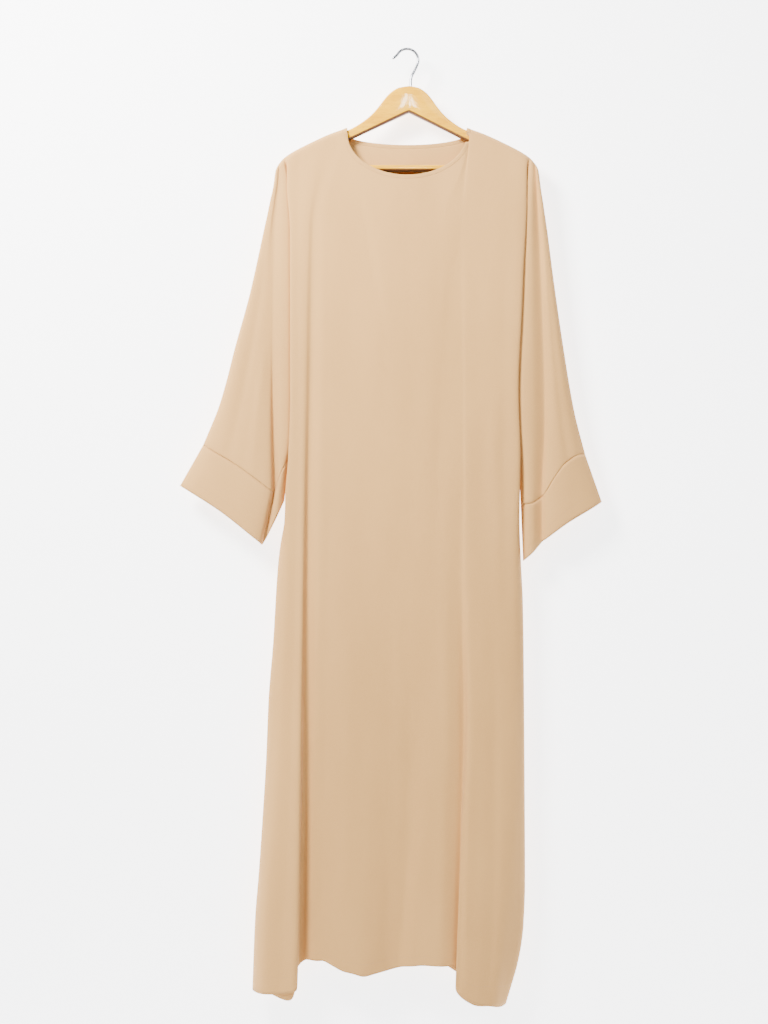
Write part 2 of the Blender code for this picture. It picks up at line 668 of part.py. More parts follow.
def cuff_points(panels, hand, share):
    """Named points around a cuff, at a share of its depth: down the front, then back along the back."""
    around = []
    for panel in panels:
        upper = panel.sleeve_row(hand, 1.0)
        row = []
        for i, (name, top) in enumerate(zip(SLEEVE_ORDER, upper)):
            height, x = SLEEVES[hand][name][1]
            beside = upper[max(i - 1, 0) : i + 2]
            slopes = [math.dist(top, near) / abs(near[0] - top[0]) for near in beside if near != top]
            drop = CUFF_GAP * max(slopes)
            out = abs(top[1]) if name in CUFF_MOUTH_OUT else 0.0
            mouth = np.array((x, panel.side * CUFF_MOUTH_OUT.get(name, 0.0), height))
            start = np.array((top[0], panel.side * out, top[2] - drop))
            row.append(start + (mouth - start) * share)
        around.append(row)
    return around[0] + around[1][-2:0:-1]


def build_cuff(panels, hand):
    """A cuff: a tube from the sleeve's seam to its mouth."""
    sheet = Sheet()
    steps = SLEEVE_SAMPLES + SLEEVE_SAMPLES[::-1]
    above = None
    for row in range(CUFF_ROWS + 1):
        named = cuff_points(panels, hand, row / CUFF_ROWS)
        loop = [named[-1]] + named + named[:2]
        ids = sheet.add_row(curve_through(loop, steps)[:-1])
        ids.append(ids[0])
        if above:
            sheet.stitch(above, ids, hand == "right")
        above = ids
    sheet.solid("cuff_" + hand, WALL, new_material("cuff_cloth_" + hand, CLOTH, 0.85))


def build_binding(made):
    """The neck binding: a narrow ring sewn to the neck edge, in the panels' own surface."""
    ring = []
    for name in ("front", "back"):
        sheet, edge = made[name]
        normals = sheet.normals()
        points = [(sheet.points[i], normals[i] / np.linalg.norm(normals[i])) for i in edge]
        ring += points if name == "front" else points[-2:0:-1]
    binding = Sheet()
    count = len(ring)
    above = None
    for width in BINDING_ROWS:
        row = []
        for i, (point, normal) in enumerate(ring):
            along = ring[(i + 1) % count][0] - ring[i - 1][0]
            inward = np.cross(normal, along / np.linalg.norm(along))
            row.append(point + inward * width)
        ids = binding.add_row(row)
        ids.append(ids[0])
        if above:
            binding.stitch(ids, above, False)
        above = ids
    binding.solid("neck_binding", BINDING_WALL, new_material("binding_cloth", CLOTH, 0.85))


def wood_profile(table, x):
    """The height of the hanger's outline at this x. Its hump stands a little off the middle."""
    shift = HUMP_SHIFT * max(0.0, 1.0 - abs(x) / HUMP_HALF_WIDTH)
    return smooth_value([(-half, height) for half, height in table], -abs(x - shift))


def build_wood():
    """The hanger's body: rounded sections along its length, with sockets for the bar and the hook."""
    halves = [half for half, _ in WOOD_TOP[1:]] + list(MORE_STATIONS)
    stations = sorted([HUMP_SHIFT] + halves + [-half for half in halves])
    points = []
    for x in stations:
        top, under = wood_profile(WOOD_TOP, x), wood_profile(WOOD_UNDER, x)
        half = (WOOD_THICK + WOOD_SWELL * math.exp(-((x / SWELL_HALF_WIDTH) ** 2))) / 2
        tall = (top - under) / 2
        turn = min(WOOD_ROUND, tall * 0.95)
        if tall < TIP_HALF_HEIGHT:
            half *= TIP_THIN
        for corner, (sy, sz) in enumerate(((-1, 1), (-1, -1), (1, -1), (1, 1))):
            for step in range(4):
                angle = math.radians(90.0 + 90.0 * corner + 30.0 * step)
                y = sy * (half - turn) + turn * math.cos(angle)
                z = (top + under) / 2 + sz * (tall - turn) + turn * math.sin(angle)
                points.append((x, y, z))
    size = 16
    faces = [tuple(range(size)), tuple(range(len(points) - 1, len(points) - 1 - size, -1))]
    for i in range(len(stations) - 1):
        for k in range(size):
            n = (k + 1) % size
            faces.append((i * size + k, (i + 1) * size + k, (i + 1) * size + n, i * size + n))
    wood = add_object("hanger_wood", points, faces, new_material("lacquered_wood", WOOD, 0.35))
    cut_socket(wood, (0.0, 0.0, BAR_HEIGHT), BAR_RADIUS + SEAM_GAP, 2 * (BAR_HALF_LENGTH + SEAM_GAP), True)
    stem_socket = (STEM_X, 0.0, STEM_END + SOCKET_DEPTH / 2)
    cut_socket(wood, stem_socket, WIRE_RADIUS + SEAM_GAP, SOCKET_DEPTH, False)


def round_bar(name, centre, radius, length, lies_along_x, sides=16):
    """A closed round bar, standing or lying along X."""
    points = []
    for end in (-length / 2, length / 2):
        for k in range(sides):
            angle = math.tau * (k + 0.5) / sides
            a, b = radius * math.cos(angle), radius * math.sin(angle)
            offset = (end, a, b) if lies_along_x else (a, b, end)
            points.append(tuple(c + o for c, o in zip(centre, offset)))
    faces = [tuple(range(sides - 1, -1, -1)), tuple(range(sides, 2 * sides))]
    faces += [(k, (k + 1) % sides, sides + (k + 1) % sides, sides + k) for k in range(sides)]
    return add_object(name, points, faces, new_material(name + "_finish", WOOD, 0.35))


def cut_socket(wood, centre, radius, length, lies_along_x):
    cutter = round_bar("socket_cutter", centre, radius, length, lies_along_x)
    cutter.hide_render = True
    cutter.display_type = "WIRE"
    cut = wood.modifiers.new("socket", "BOOLEAN")
    cut.operation = "DIFFERENCE"
    cut.object = cutter


def build_hook():
    """The wire hook: an arc over the rail, a flicked tip, and an S bend down to the stem in the wood."""
    centre = WIRE_RADIUS - HOOK_RADIUS
    route = [(-24.4, -14.8), (-17.2, -8.4)]
    for degrees in range(130, -31, -20):
        angle = math.radians(degrees)
        route.append((HOOK_RADIUS * math.cos(angle), centre + HOOK_RADIUS * math.sin(angle)))
    route += [(12.2, -35.6), (8.2, -43.4), (STEM_X, STEM_TOP), (STEM_X, -60.0), (STEM_X, STEM_END + SEAM_GAP)]
    named = [(x, 0.0, z) for x, z in route]
    ends = [named[1]] + named + [named[-2]]
    ends[0] = tuple(2 * a - b for a, b in zip(named[0], named[1]))
    ends[-1] = tuple(2 * a - b for a, b in zip(named[-1], named[-2]))
    path = curve_through(ends, [3] * (len(named) - 1))
    curve = bpy.data.curves.new("hanger_hook", "CURVE")
    curve.dimensions = "3D"
    curve.bevel_depth = WIRE_RADIUS * MM
    curve.bevel_resolution = 3
    curve.use_fill_caps = True
    spline = curve.splines.new("POLY")
    spline.points.add(len(path) - 1)
    for target, point in zip(spline.points, path):
        target.co = (point[0] * MM, point[1] * MM, point[2] * MM, 1.0)
    curve.materials.append(new_material("chromed_wire", STEEL, 0.2, 1.0))
    hook = bpy.data.objects.new("hanger_hook", curve)
    bpy.context.scene.collection.objects.link(hook)


def clear_scene():
    for found in list(bpy.data.objects):
        bpy.data.objects.remove(found, do_unlink=True)


def build_cloth():
    front_panel = Panel(-1, FRONT_LINES, FRONT_PANEL, NECK_DROP_FRONT, 1.0)
    back_panel = Panel(1, BACK_LINES, BACK_PANEL, NECK_DROP_BACK, BACK_SLEEVE_DEPTH)
    made = {}
    for name, panel in (("front", front_panel), ("back", back_panel)):
        made[name] = build_panel(panel)
        made[name][0].solid(name, WALL, new_material(name + "_cloth", CLOTH, 0.85))
    for hand in ("left", "right"):
        build_cuff((front_panel, back_panel), hand)
    build_binding(made)


def main():
    clear_scene()
    build_cloth()
    build_wood()
    round_bar("hanger_bar", (0.0, 0.0, BAR_HEIGHT), BAR_RADIUS, 2 * BAR_HALF_LENGTH, True)
    build_hook()


main()
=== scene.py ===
"""The looks of an abaya on a wooden hanger: its cloth, creases, stitches, wood, wire and stage.

The frame is in metres, +Z up, the wearer's front towards -Y, with the origin at the inside top of the
hanger's hook. Left and right are the viewer's. Tables are in millimetres: heights are measured up from
the origin, so they are negative, and "out" is how far a cloth lies in front of the hanger's middle plane
on the front panel, or behind it on the back panel. A table's rows name one line down the cloth, such as a
fold's crest, and each row across the cloth is a smooth curve through all such lines.
"""

import math

import bpy
import numpy as np
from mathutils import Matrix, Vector, noise


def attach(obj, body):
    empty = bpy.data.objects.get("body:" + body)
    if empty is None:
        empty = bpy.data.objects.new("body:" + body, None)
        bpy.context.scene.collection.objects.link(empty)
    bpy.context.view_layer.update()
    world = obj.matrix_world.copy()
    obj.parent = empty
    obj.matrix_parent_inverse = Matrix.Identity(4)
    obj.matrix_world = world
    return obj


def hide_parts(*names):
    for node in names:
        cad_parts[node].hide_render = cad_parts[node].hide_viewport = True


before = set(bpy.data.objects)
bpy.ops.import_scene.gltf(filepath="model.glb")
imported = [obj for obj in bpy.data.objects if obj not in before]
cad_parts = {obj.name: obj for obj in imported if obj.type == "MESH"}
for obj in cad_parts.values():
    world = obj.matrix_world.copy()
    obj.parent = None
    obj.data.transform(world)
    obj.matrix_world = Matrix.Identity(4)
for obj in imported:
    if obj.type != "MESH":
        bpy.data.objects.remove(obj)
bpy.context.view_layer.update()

bl_info = {
    "name": "Hanging abaya",
    "version": (1, 0, 0),
    "blender": (4, 5, 0),
    "location": "View3D > Sidebar > Abaya",
    "description": "Makes the cloth, stitches, hanger and stage of an abaya on a wooden hanger",
    "category": "Object",
}

MM = 0.001
SEAM_GAP = 0.3
HALF_GAP = SEAM_GAP / 2

# The shoulder and the panels' neck edge, which the binding makes about 7 mm smaller all round
NECK_HALF_WIDTH = 106.7
NECK_HEIGHT = -133.5
NECK_DROP_FRONT = 85.4
NECK_DROP_BACK = 29.6
NECK_ROLL = 8.6
SHOULDER_ROLL = 10.5
SHOULDER_OUT = 10.5

# Heights down the garment. From LEVEL_HEIGHT down to HEM_LEVEL, all points of a row across the body are at
# the height of the side seam
LEVEL_HEIGHT = -292.0
CHEST_HEIGHT = -300.0
UNDERARM_HEIGHT = -666.0
WAIST_HEIGHT = -700.0
KNEE_HEIGHT = -1100.0
HEM_LEVEL = -1480.0

# Half width and height of the shoulder seam, from the neck point to the hanger's end
SHOULDER = [
    (99.5, -131.0),
    (128.0, -141.0),
    (160.0, -155.5),
    (192.0, -172.0),
    (206.5, -182.0),
    (214.0, -190.5),
    (219.0, -199.0),
    (221.0, -204.0),
]

# The hanger
WOOD_THICK = 12.0
WOOD_SWELL = 3.0
SWELL_HALF_WIDTH = 40.0
WOOD_ROUND = 5.5
TIP_HALF_HEIGHT = 3.0
TIP_THIN = 0.6
TIP_EDGE = 1.5
MOST_ROUND = 0.95
HUMP_SHIFT = 3.2
HUMP_HALF_WIDTH = 97.0
BAR_RADIUS = 6.0
BAR_HEIGHT = -198.7
BAR_HALF_LENGTH = 196.0
WIRE_RADIUS = 2.2
HOOK_RADIUS = 19.0
STEM_X = 6.4
STEM_TOP = -51.0
STEM_MIDDLE = -60.0
STEM_END = -74.0

# The wire's flicked tip, the arc over the rail in degrees, and the bend above the stem, as x and height
HOOK_TIP = [(-24.4, -14.8), (-17.2, -8.4)]
HOOK_ARC = range(130, -31, -20)
HOOK_BEND = [(12.2, -35.6), (8.2, -43.4)]

# How finely the hanger is made, and the wire's radius over its first places, as shares
WOOD_SECTIONS = 181
WOOD_CORNER_STEPS = 7
BAR_PLACES = 9
BAR_SIDES = 40
HOOK_STEPS = 7
WIRE_SIDES = 20
WIRE_TIP = (0.45, 0.8, 0.95)

# Half of the hanger's outline: distance from the middle, height. Past the neck the top follows the
# shoulder seam, 3.5 mm below it
WOOD_TOP = [
    (0.0, -60.5), (16.0, -63.2), (30.0, -71.5), (40.0, -82.5), (50.0, -96.0), (60.0, -107.5),
    (76.0, -121.0), (97.0, -133.5), (128.0, -144.5), (160.0, -159.0), (192.0, -175.5),
    (206.5, -185.5), (214.0, -195.0), (219.5, -204.0),
]
WOOD_UNDER = [
    (0.0, -105.5), (94.0, -150.7), (150.0, -177.0), (172.0, -191.5), (183.0, -206.0),
    (196.0, -212.0), (208.0, -214.0), (215.0, -212.0), (219.5, -207.5),
]

# Seam lines: height, x. The front and the back meet in them, in the hanger's middle plane
SIDE_LEFT = [
    (-182.0, -206.5), (-230.0, -198.5), (-300.0, -193.5), (-590.0, -193.0), (-666.0, -192.5),
    (-706.0, -193.0), (-751.0, -198.0), (-790.0, -204.5), (-832.0, -212.5), (-873.0, -217.0),
    (-996.0, -224.6), (-1092.0, -232.3), (-1189.0, -236.2), (-1285.0, -242.0), (-1381.0, -248.6),
    (-1461.0, -255.0), (-1577.0, -259.4),
]
SIDE_RIGHT = [
    (-182.0, 206.5), (-230.0, 199.0), (-300.0, 196.5), (-365.0, 192.5), (-443.0, 189.5),
    (-574.0, 184.5), (-666.0, 184.5), (-722.0, 185.5), (-790.0, 188.0), (-857.0, 191.0),
    (-929.0, 194.5), (-1037.0, 196.0), (-1196.0, 197.2), (-1395.0, 198.2), (-1468.0, 195.7),
    (-1500.0, 192.2), (-1536.0, 185.3), (-1566.0, 176.7), (-1600.0, 166.3),
]
OVERARM_LEFT = [
    (-204.0, -221.0), (-227.0, -224.0), (-267.0, -232.0), (-312.0, -242.0), (-358.0, -252.0),
    (-413.0, -264.6), (-504.0, -289.8), (-554.0, -302.4), (-600.0, -316.0), (-635.0, -330.0),
    (-663.0, -342.0),
]
OVERARM_RIGHT = [
    (-204.0, 221.0), (-238.0, 225.5), (-306.0, 235.7), (-385.0, 246.0), (-496.0, 262.0),
    (-606.0, 280.6), (-679.0, 299.0),
]

# Lines down the front panel: height, x, out. Where a line starts at the neck, its first row is 0, the angle
# of its place in the neck edge, and the out
FRONT_LINES = {
    "edge_left": [
        (-178.0, -200.5, 10.5), (-230.0, -200.5, 13.0), (-300.0, -195.5, 16.0), (-590.0, -195.0, 17.0),
        (-690.0, -198.5, 16.0), (-751.0, -203.0, 16.0), (-873.0, -203.3, 15.0), (-1100.0, -214.0, 17.0),
        (-1300.0, -226.0, 22.0), (-1450.0, -238.0, 26.0), (-1577.0, -243.0, 27.0),
    ],
    "flare_left": [
        (-163.5, -176.0, 10.5), (-300.0, -182.0, 17.5), (-600.0, -181.0, 18.5), (-873.0, -186.0, 19.0),
        (-1100.0, -192.0, 24.0), (-1300.0, -198.0, 31.0), (-1450.0, -205.0, 36.0), (-1574.0, -212.0, 38.0),
    ],
    "crest_left": [
        (-149.0, -146.0, 10.5), (-300.0, -165.0, 17.5), (-600.0, -170.5, 18.5), (-873.0, -174.5, 21.0),
        (-1100.0, -177.0, 27.5), (-1300.0, -178.5, 35.0), (-1450.0, -180.0, 41.0), (-1566.0, -183.5, 45.0),
    ],
    "valley_left": [
        (-138.5, -121.0, 10.5), (-300.0, -157.0, 15.5), (-600.0, -162.5, 14.5), (-873.0, -167.5, 14.0),
        (-1100.0, -171.5, 15.0), (-1300.0, -176.0, 15.5), (-1450.0, -181.0, 16.0), (-1541.0, -186.0, 17.0),
    ],
    "valley_right": [
        (0.0, 12.0, 10.5), (-300.0, 88.0, 16.5), (-700.0, 92.0, 16.5), (-946.0, 90.0, 17.0),
        (-1114.0, 95.5, 19.0), (-1302.0, 90.0, 22.0), (-1450.0, 87.0, 25.0), (-1534.0, 84.5, 27.0),
    ],
    "crest_right": [
        (-133.5, 106.7, 10.5), (-300.0, 98.0, 17.0), (-700.0, 99.0, 18.0), (-946.0, 98.0, 21.0),
        (-1114.0, 101.5, 27.0), (-1302.0, 92.0, 35.0), (-1450.0, 85.0, 40.0), (-1567.0, 80.5, 43.0),
    ],
    "flare_right": [
        (-142.0, 131.0, 10.5), (-300.0, 125.0, 17.5), (-700.0, 122.0, 18.0), (-946.0, 122.0, 22.0),
        (-1114.0, 124.0, 28.0), (-1302.0, 118.0, 36.0), (-1450.0, 112.0, 41.0), (-1590.0, 109.0, 44.0),
    ],
    "fall_right": [
        (-160.0, 170.0, 10.5), (-300.0, 160.0, 17.5), (-700.0, 158.0, 18.0), (-946.0, 158.0, 20.0),
        (-1114.0, 160.0, 24.0), (-1302.0, 158.0, 31.0), (-1450.0, 150.0, 36.0), (-1595.0, 138.0, 38.0),
    ],
    "edge_right": [
        (-178.0, 200.5, 10.5), (-259.0, 200.0, 13.0), (-365.0, 194.5, 16.0), (-443.0, 191.0, 17.0),
        (-574.0, 185.5, 17.0), (-680.0, 188.5, 16.5), (-848.0, 184.0, 15.5), (-1000.0, 184.0, 15.0),
        (-1200.0, 184.0, 18.0), (-1400.0, 180.0, 22.0), (-1500.0, 170.0, 22.0), (-1601.0, 157.0, 18.0),
    ],
}

# Lines between the two valleys of the front: neck angle, share of the way across, the out at the chest,
# at the knee and at the hem, and the hem's height
FRONT_PANEL = [
    (180.0, 0.07, 17.0, 18.0, 19.0, -1523.0),
    (160.0, 0.17, 17.0, 20.0, 23.0, -1524.0),
    (137.0, 0.29, 16.5, 21.0, 26.0, -1540.0),
    (112.0, 0.42, 16.0, 19.0, 24.0, -1549.0),
    (90.0, 0.55, 16.0, 16.5, 18.0, -1543.0),
    (68.0, 0.67, 16.0, 17.0, 19.0, -1535.0),
    (45.0, 0.78, 16.5, 19.5, 25.0, -1531.0),
    (26.0, 0.89, 17.0, 22.0, 30.0, -1531.0),
]

# The same for the back, which hangs nearer to the wall with soft folds
BACK_LINES = {
    "edge_left": [
        (-178.0, -200.5, 10.5), (-230.0, -199.0, 11.5), (-300.0, -193.5, 13.0), (-590.0, -193.0, 13.5),
        (-690.0, -197.0, 12.5), (-790.0, -203.0, 12.0), (-1100.0, -216.0, 13.0), (-1300.0, -228.0, 14.0),
        (-1586.0, -242.0, 17.0),
    ],
    "fall_left": [
        (-149.0, -146.0, 10.5), (-300.0, -160.0, 14.0), (-600.0, -166.0, 15.0), (-873.0, -172.0, 16.0),
        (-1300.0, -186.0, 21.0), (-1605.0, -197.0, 26.0),
    ],
    "fall_right": [
        (-149.0, 146.0, 10.5), (-300.0, 150.0, 14.0), (-600.0, 148.0, 15.0), (-873.0, 152.0, 16.0),
        (-1300.0, 158.0, 21.0), (-1590.0, 140.0, 25.0),
    ],
    "edge_right": [
        (-178.0, 200.5, 10.5), (-230.0, 199.0, 11.5), (-300.0, 193.5, 13.0), (-574.0, 185.0, 13.5),
        (-680.0, 187.0, 12.5), (-848.0, 184.0, 12.0), (-1400.0, 184.0, 14.0), (-1500.0, 174.0, 15.0),
        (-1598.0, 156.0, 14.0),
    ],
}
BACK_PANEL = [
    (180.0, 0.05, 13.5, 11.5, 12.0, -1534.0),
    (158.0, 0.22, 13.5, 14.0, 19.0, -1535.0),
    (130.0, 0.35, 13.0, 17.0, 25.0, -1545.0),
    (90.0, 0.50, 13.0, 13.0, 15.0, -1542.0),
    (50.0, 0.64, 13.0, 16.0, 23.0, -1538.0),
    (22.0, 0.77, 13.5, 14.5, 17.0, -1540.0),
    (0.0, 0.88, 13.5, 12.0, 13.0, -1562.0),
]

# Lines down each sleeve: its top and bottom height, the cuff's mouth as height and x, a share or None, and
# rows of height, x, out. With a share, the rows are height and out, and x is at that share of the way from
# the overarm to the trough. The overarm's own rows are in its seam's table
SLEEVES = {
    "left": {
        "outer": ((-198.5, -671.0), (-741.0, -366.0), 0.10, ((-198.0, 10.5), (-300.0, 8.5), (-671.0, 10.0))),
        "middle": ((-193.5, -699.0), (-776.0, -311.0), 0.50, (
            (-193.0, 10.5), (-300.0, 10.5), (-699.0, 15.0))),
        "trough": ((-189.5, -743.0), (-830.0, -243.0), None, (
            (-189.0, -213.5, 10.5), (-227.0, -215.0, 9.8), (-312.0, -222.0, 10.0), (-454.0, -225.0, 10.5),
            (-613.0, -225.5, 8.0), (-743.0, -224.0, 7.0))),
        "ridge": ((-185.5, -714.0), (-798.0, -226.0), None, (
            (-185.0, -210.0, 10.5), (-227.0, -206.5, 11.0), (-312.0, -208.0, 13.0), (-714.0, -213.0, 14.0))),
        "tuck": ((-182.0, -684.0), (-757.0, -206.5), None, ((-666.0, -192.5, 0.15), (-684.0, -198.5, 0.15))),
        "overarm": ((-204.0, -663.0), (-732.0, -381.0), None, ()),
    },
    "right": {
        "outer": ((-198.5, -681.0), (-768.0, 313.0), 0.20, ((-198.0, 10.5), (-300.0, 9.0), (-681.0, 10.0))),
        "middle": ((-193.5, -699.0), (-795.0, 268.0), 0.55, ((-193.0, 10.5), (-300.0, 10.5), (-699.0, 15.0))),
        "trough": ((-189.5, -750.0), (-825.0, 228.0), None, (
            (-189.0, 213.5, 10.5), (-227.0, 217.0, 8.8), (-311.0, 221.0, 8.0), (-443.0, 226.0, 8.0),
            (-627.0, 231.0, 8.0), (-750.0, 227.0, 7.0))),
        "ridge": ((-185.5, -761.0), (-845.0, 210.0), None, (
            (-185.0, 210.0, 10.5), (-227.0, 208.5, 12.0), (-311.0, 207.0, 14.0), (-627.0, 208.5, 15.0),
            (-761.0, 209.0, 13.0))),
        "tuck": ((-182.0, -764.0), (-858.0, 195.5), None, (
            (-666.0, 184.5, 0.15), (-700.0, 188.4, 0.15), (-764.0, 191.6, 0.15))),
        "overarm": ((-204.0, -679.0), (-759.0, 327.0), None, ()),
    },
}
SLEEVE_ORDER = ("overarm", "outer", "middle", "trough", "ridge", "tuck")

# How deep the back of a sleeve is beside its front, over what share of a sleeve its lines spread from the
# shoulder seam, and down to what drop its cloth is at least SHOULDER_OUT out
BACK_SLEEVE_DEPTH = 0.85
SPREAD_SHARE = 0.10
SLEEVE_TOP_DROP = 40.0

# Stitches: from one to the next, how long each is, and its radius. They run so many rows of points above the
# hem, or the cuff's mouth
NECK_STITCH = (2.9, 2.2, 0.28)
HEM_STITCH = (3.4, 2.5, 0.24)
HEM_STITCH_ROW = 4
CUFF_STITCH_ROW = 4

# The cut of what shows, in metres and square metres
FRONT_AREA = 0.86
BACK_AREA = 0.84

# How tight the wood's grain is along x, y and z, on the hanger's arms and on its bar
ARM_GRAIN = (0.5, 9.0, 4.0)
BAR_GRAIN = (0.3, 6.0, 6.0)

# Slow waves of the cloth: how deep, how long along x, y and z, and where each panel's own waves start
WAVE_DEPTH = 1.1
WAVE_LENGTHS = (46.0, 60.0, 310.0)
WAVE_SEEDS = {"front": 3.0, "back": 11.0}

# The creases and waves start this far out of the middle plane, and are whole so much further out and so far
# below the neck
HOLD_START = 2.0
HOLD_REACH = 8.0
HOLD_DROP = 60.0

# Soft creases of the front: height, x, reach to the left, reach to the right, and depth. A ridge's depth is
# below 0
FRONT_CREASES = [
    [(-980.0, 30.0, 30.0, 20.0, 0.0), (-1200.0, 12.0, 28.0, 16.0, 2.6), (-1400.0, -4.0, 26.0, 14.0, 5.4),
     (-1600.0, -24.0, 26.0, 14.0, 7.0)],
    [(-1120.0, -60.0, 30.0, 30.0, 0.0), (-1400.0, -72.0, 26.0, 26.0, -2.0),
     (-1600.0, -76.0, 24.0, 26.0, -3.0)],
    [(-240.0, 110.0, 9.0, 16.0, 0.0), (-420.0, 72.0, 10.0, 22.0, 0.9), (-700.0, 54.0, 12.0, 26.0, 0.9),
     (-900.0, 48.0, 14.0, 30.0, 0.0)],
    [(-230.0, -84.0, 14.0, 8.0, 0.0), (-330.0, -64.0, 16.0, 9.0, 0.9), (-520.0, -38.0, 20.0, 12.0, 0.7),
     (-760.0, -30.0, 24.0, 16.0, 0.0)],
    [(-620.0, -120.0, 12.0, 20.0, 0.0), (-860.0, -128.0, 12.0, 22.0, 1.2), (-1150.0, -134.0, 14.0, 24.0, 1.5),
     (-1560.0, -138.0, 16.0, 26.0, 2.0)],
    [(-240.0, -153.0, 12.0, 14.0, 0.0), (-520.0, -159.0, 10.0, 13.0, 1.6), (-800.0, -165.0, 7.0, 12.0, 3.4),
     (-1150.0, -169.0, 6.0, 11.0, 5.0), (-1560.0, -177.0, 6.0, 11.0, 6.0)],
    [(-880.0, 94.0, 6.0, 5.0, 0.0), (-980.0, 94.5, 6.0, 5.0, 2.4), (-1140.0, 95.0, 6.0, 5.0, 3.2),
     (-1400.0, 89.5, 6.0, 5.0, 3.6), (-1560.0, 85.0, 6.0, 5.0, 3.6)],
    [(-560.0, 150.0, 10.0, 10.0, 0.0), (-660.0, 146.0, 12.0, 12.0, -1.6), (-800.0, 150.0, 14.0, 12.0, -1.4),
     (-980.0, 156.0, 14.0, 14.0, 0.0)],
    [(-880.0, 140.0, 12.0, 10.0, 0.0), (-1120.0, 146.0, 12.0, 10.0, 1.6), (-1400.0, 143.0, 14.0, 10.0, 2.6),
     (-1605.0, 132.0, 14.0, 10.0, 3.2)],
    [(-330.0, -235.0, 8.0, 6.0, 0.0), (-430.0, -248.0, 9.0, 7.0, 1.2), (-560.0, -272.0, 10.0, 8.0, 1.8),
     (-740.0, -312.0, 12.0, 9.0, 0.8)],
    [(-480.0, -236.0, 6.0, 8.0, 0.0), (-570.0, -246.0, 7.0, 9.0, -1.6), (-740.0, -264.0, 8.0, 12.0, -0.8)],
    [(-300.0, 232.0, 6.0, 8.0, 0.0), (-470.0, 243.0, 7.0, 8.0, 1.4), (-640.0, 262.0, 8.0, 9.0, 1.6),
     (-790.0, 288.0, 9.0, 10.0, 0.6)],
]

BACK_CREASES = [
    [(-260.0, -78.0, 10.0, 16.0, 0.0), (-420.0, -60.0, 12.0, 20.0, 1.2), (-820.0, -52.0, 16.0, 24.0, 1.6),
     (-1250.0, -60.0, 20.0, 26.0, 2.0), (-1600.0, -66.0, 22.0, 26.0, 2.6)],
    [(-260.0, 74.0, 16.0, 10.0, 0.0), (-460.0, 58.0, 20.0, 12.0, 1.2), (-900.0, 50.0, 22.0, 14.0, 1.4),
     (-1300.0, 62.0, 24.0, 14.0, 2.4), (-1600.0, 70.0, 24.0, 16.0, 3.0)],
    [(-700.0, -130.0, 12.0, 18.0, 0.0), (-1000.0, -138.0, 12.0, 20.0, 1.8),
     (-1600.0, -150.0, 14.0, 22.0, 3.0)],
    [(-640.0, 118.0, 16.0, 12.0, 0.0), (-1000.0, 124.0, 18.0, 12.0, 1.6), (-1600.0, 112.0, 20.0, 14.0, 2.8)],
    [(-900.0, 2.0, 18.0, 22.0, 0.0), (-1200.0, -4.0, 20.0, 24.0, -1.8), (-1600.0, 6.0, 22.0, 26.0, -3.0)],
    [(-330.0, -236.0, 8.0, 6.0, 0.0), (-440.0, -252.0, 9.0, 7.0, 1.2), (-740.0, -306.0, 12.0, 9.0, 1.2)],
    [(-320.0, 236.0, 6.0, 8.0, 0.0), (-480.0, 248.0, 7.0, 8.0, 1.2), (-780.0, 290.0, 9.0, 10.0, 0.9)],
]

# The camera looks level along +Y. Its frame is 768 by 1024 pixels, as the photograph's
CAMERA_PLACE = (-0.0386, -2.5, -0.776)
CAMERA_LENS = 52.3
CAMERA_SENSOR = 36.0
STAGE_REACH = 4.0
FLOOR_SHADE = 0.78
WORLD_COLOUR = (0.93, 0.95, 1.0)

# Lights: name, place, what it faces, size, share of its power, colour
LIGHTS = [
    ("key_light", (-0.95, -1.2, 0.5), (0.0, 0.0, -0.5), (0.55, 0.55), 1.0, (1.0, 0.985, 0.96)),
    ("fill_light", (1.1, -1.9, 0.5), (0.0, 0.0, -0.6), (1.6, 1.6), 1.0, (0.96, 0.98, 1.0)),
    ("strip_light", (0.05, -2.4, 0.56), (0.0, 0.0, -0.09), (0.07, 0.40), 0.3, (1.0, 1.0, 1.0)),
    ("rear_light_left", (-1.7, 2.4, 0.5), (0.0, 0.0, -0.8), (1.6, 1.6), 1.5, (1.0, 0.99, 0.97)),
    ("rear_light_right", (1.9, 2.2, -0.3), (0.0, 0.0, -0.8), (1.6, 1.6), 0.8, (0.97, 0.98, 1.0)),
]

# Levels, at which the sheets get rows of points, are heights down the side seam as far as HEM_LEVEL. Below it
# HEM_DEPTH is the whole way to a line's own hem. Lines from the neck start at NECK_LEVEL, and the first rows
# are these drops below the top
NECK_LEVEL = -188.0
HEM_DEPTH = 100.0
SHOULDER_DROPS = (0.0, 0.3, 0.8, 1.5, 2.6, 4.0, 6.0, 8.0, 10.5, 13.0, 17.0, 22.0)

# The top row is settled on the shoulder seam, and the rows below it ever less, down to this drop. Body and
# sleeve part within this height above the underarm
SETTLE_DROP = 13.0
UNDERARM_BLEND = 21.0

# Steps between points: down the panels, across them, and down a sleeve's end and around a cuff
ROW_STEP = 7.2
COLUMN_STEP = 3.6
CUFF_STEP = 4.0

# The thickness of the cloth
SHELL = 0.9

# Beside the tuck the sleeve turns down within the lip's reach, from this share of its ridge's height. Its
# brow hangs over the trough beside it, ever more towards the cuff: minus the share of the sleeve, rise
LIP_REACH = 9.0
LIP_RISE = 0.88
BROW_REACH = 3.8
BROW_RISE = {
    "left": ((0.0, 0.18), (-0.5, 0.22), (-0.8, 0.7), (-1.0, 0.92)),
    "right": ((0.0, 0.3), (-0.6, 0.35), (-1.0, 0.55)),
}

# The share of their out that these lines lose as the brow rises, and all lines of a sleeve in order
FOLD_SINK = {"trough": 0.85, "ridge": 0.3}
SLEEVE_LINES = ("overarm", "outer", "middle", "brow", "trough", "ridge", "lip", "tuck")

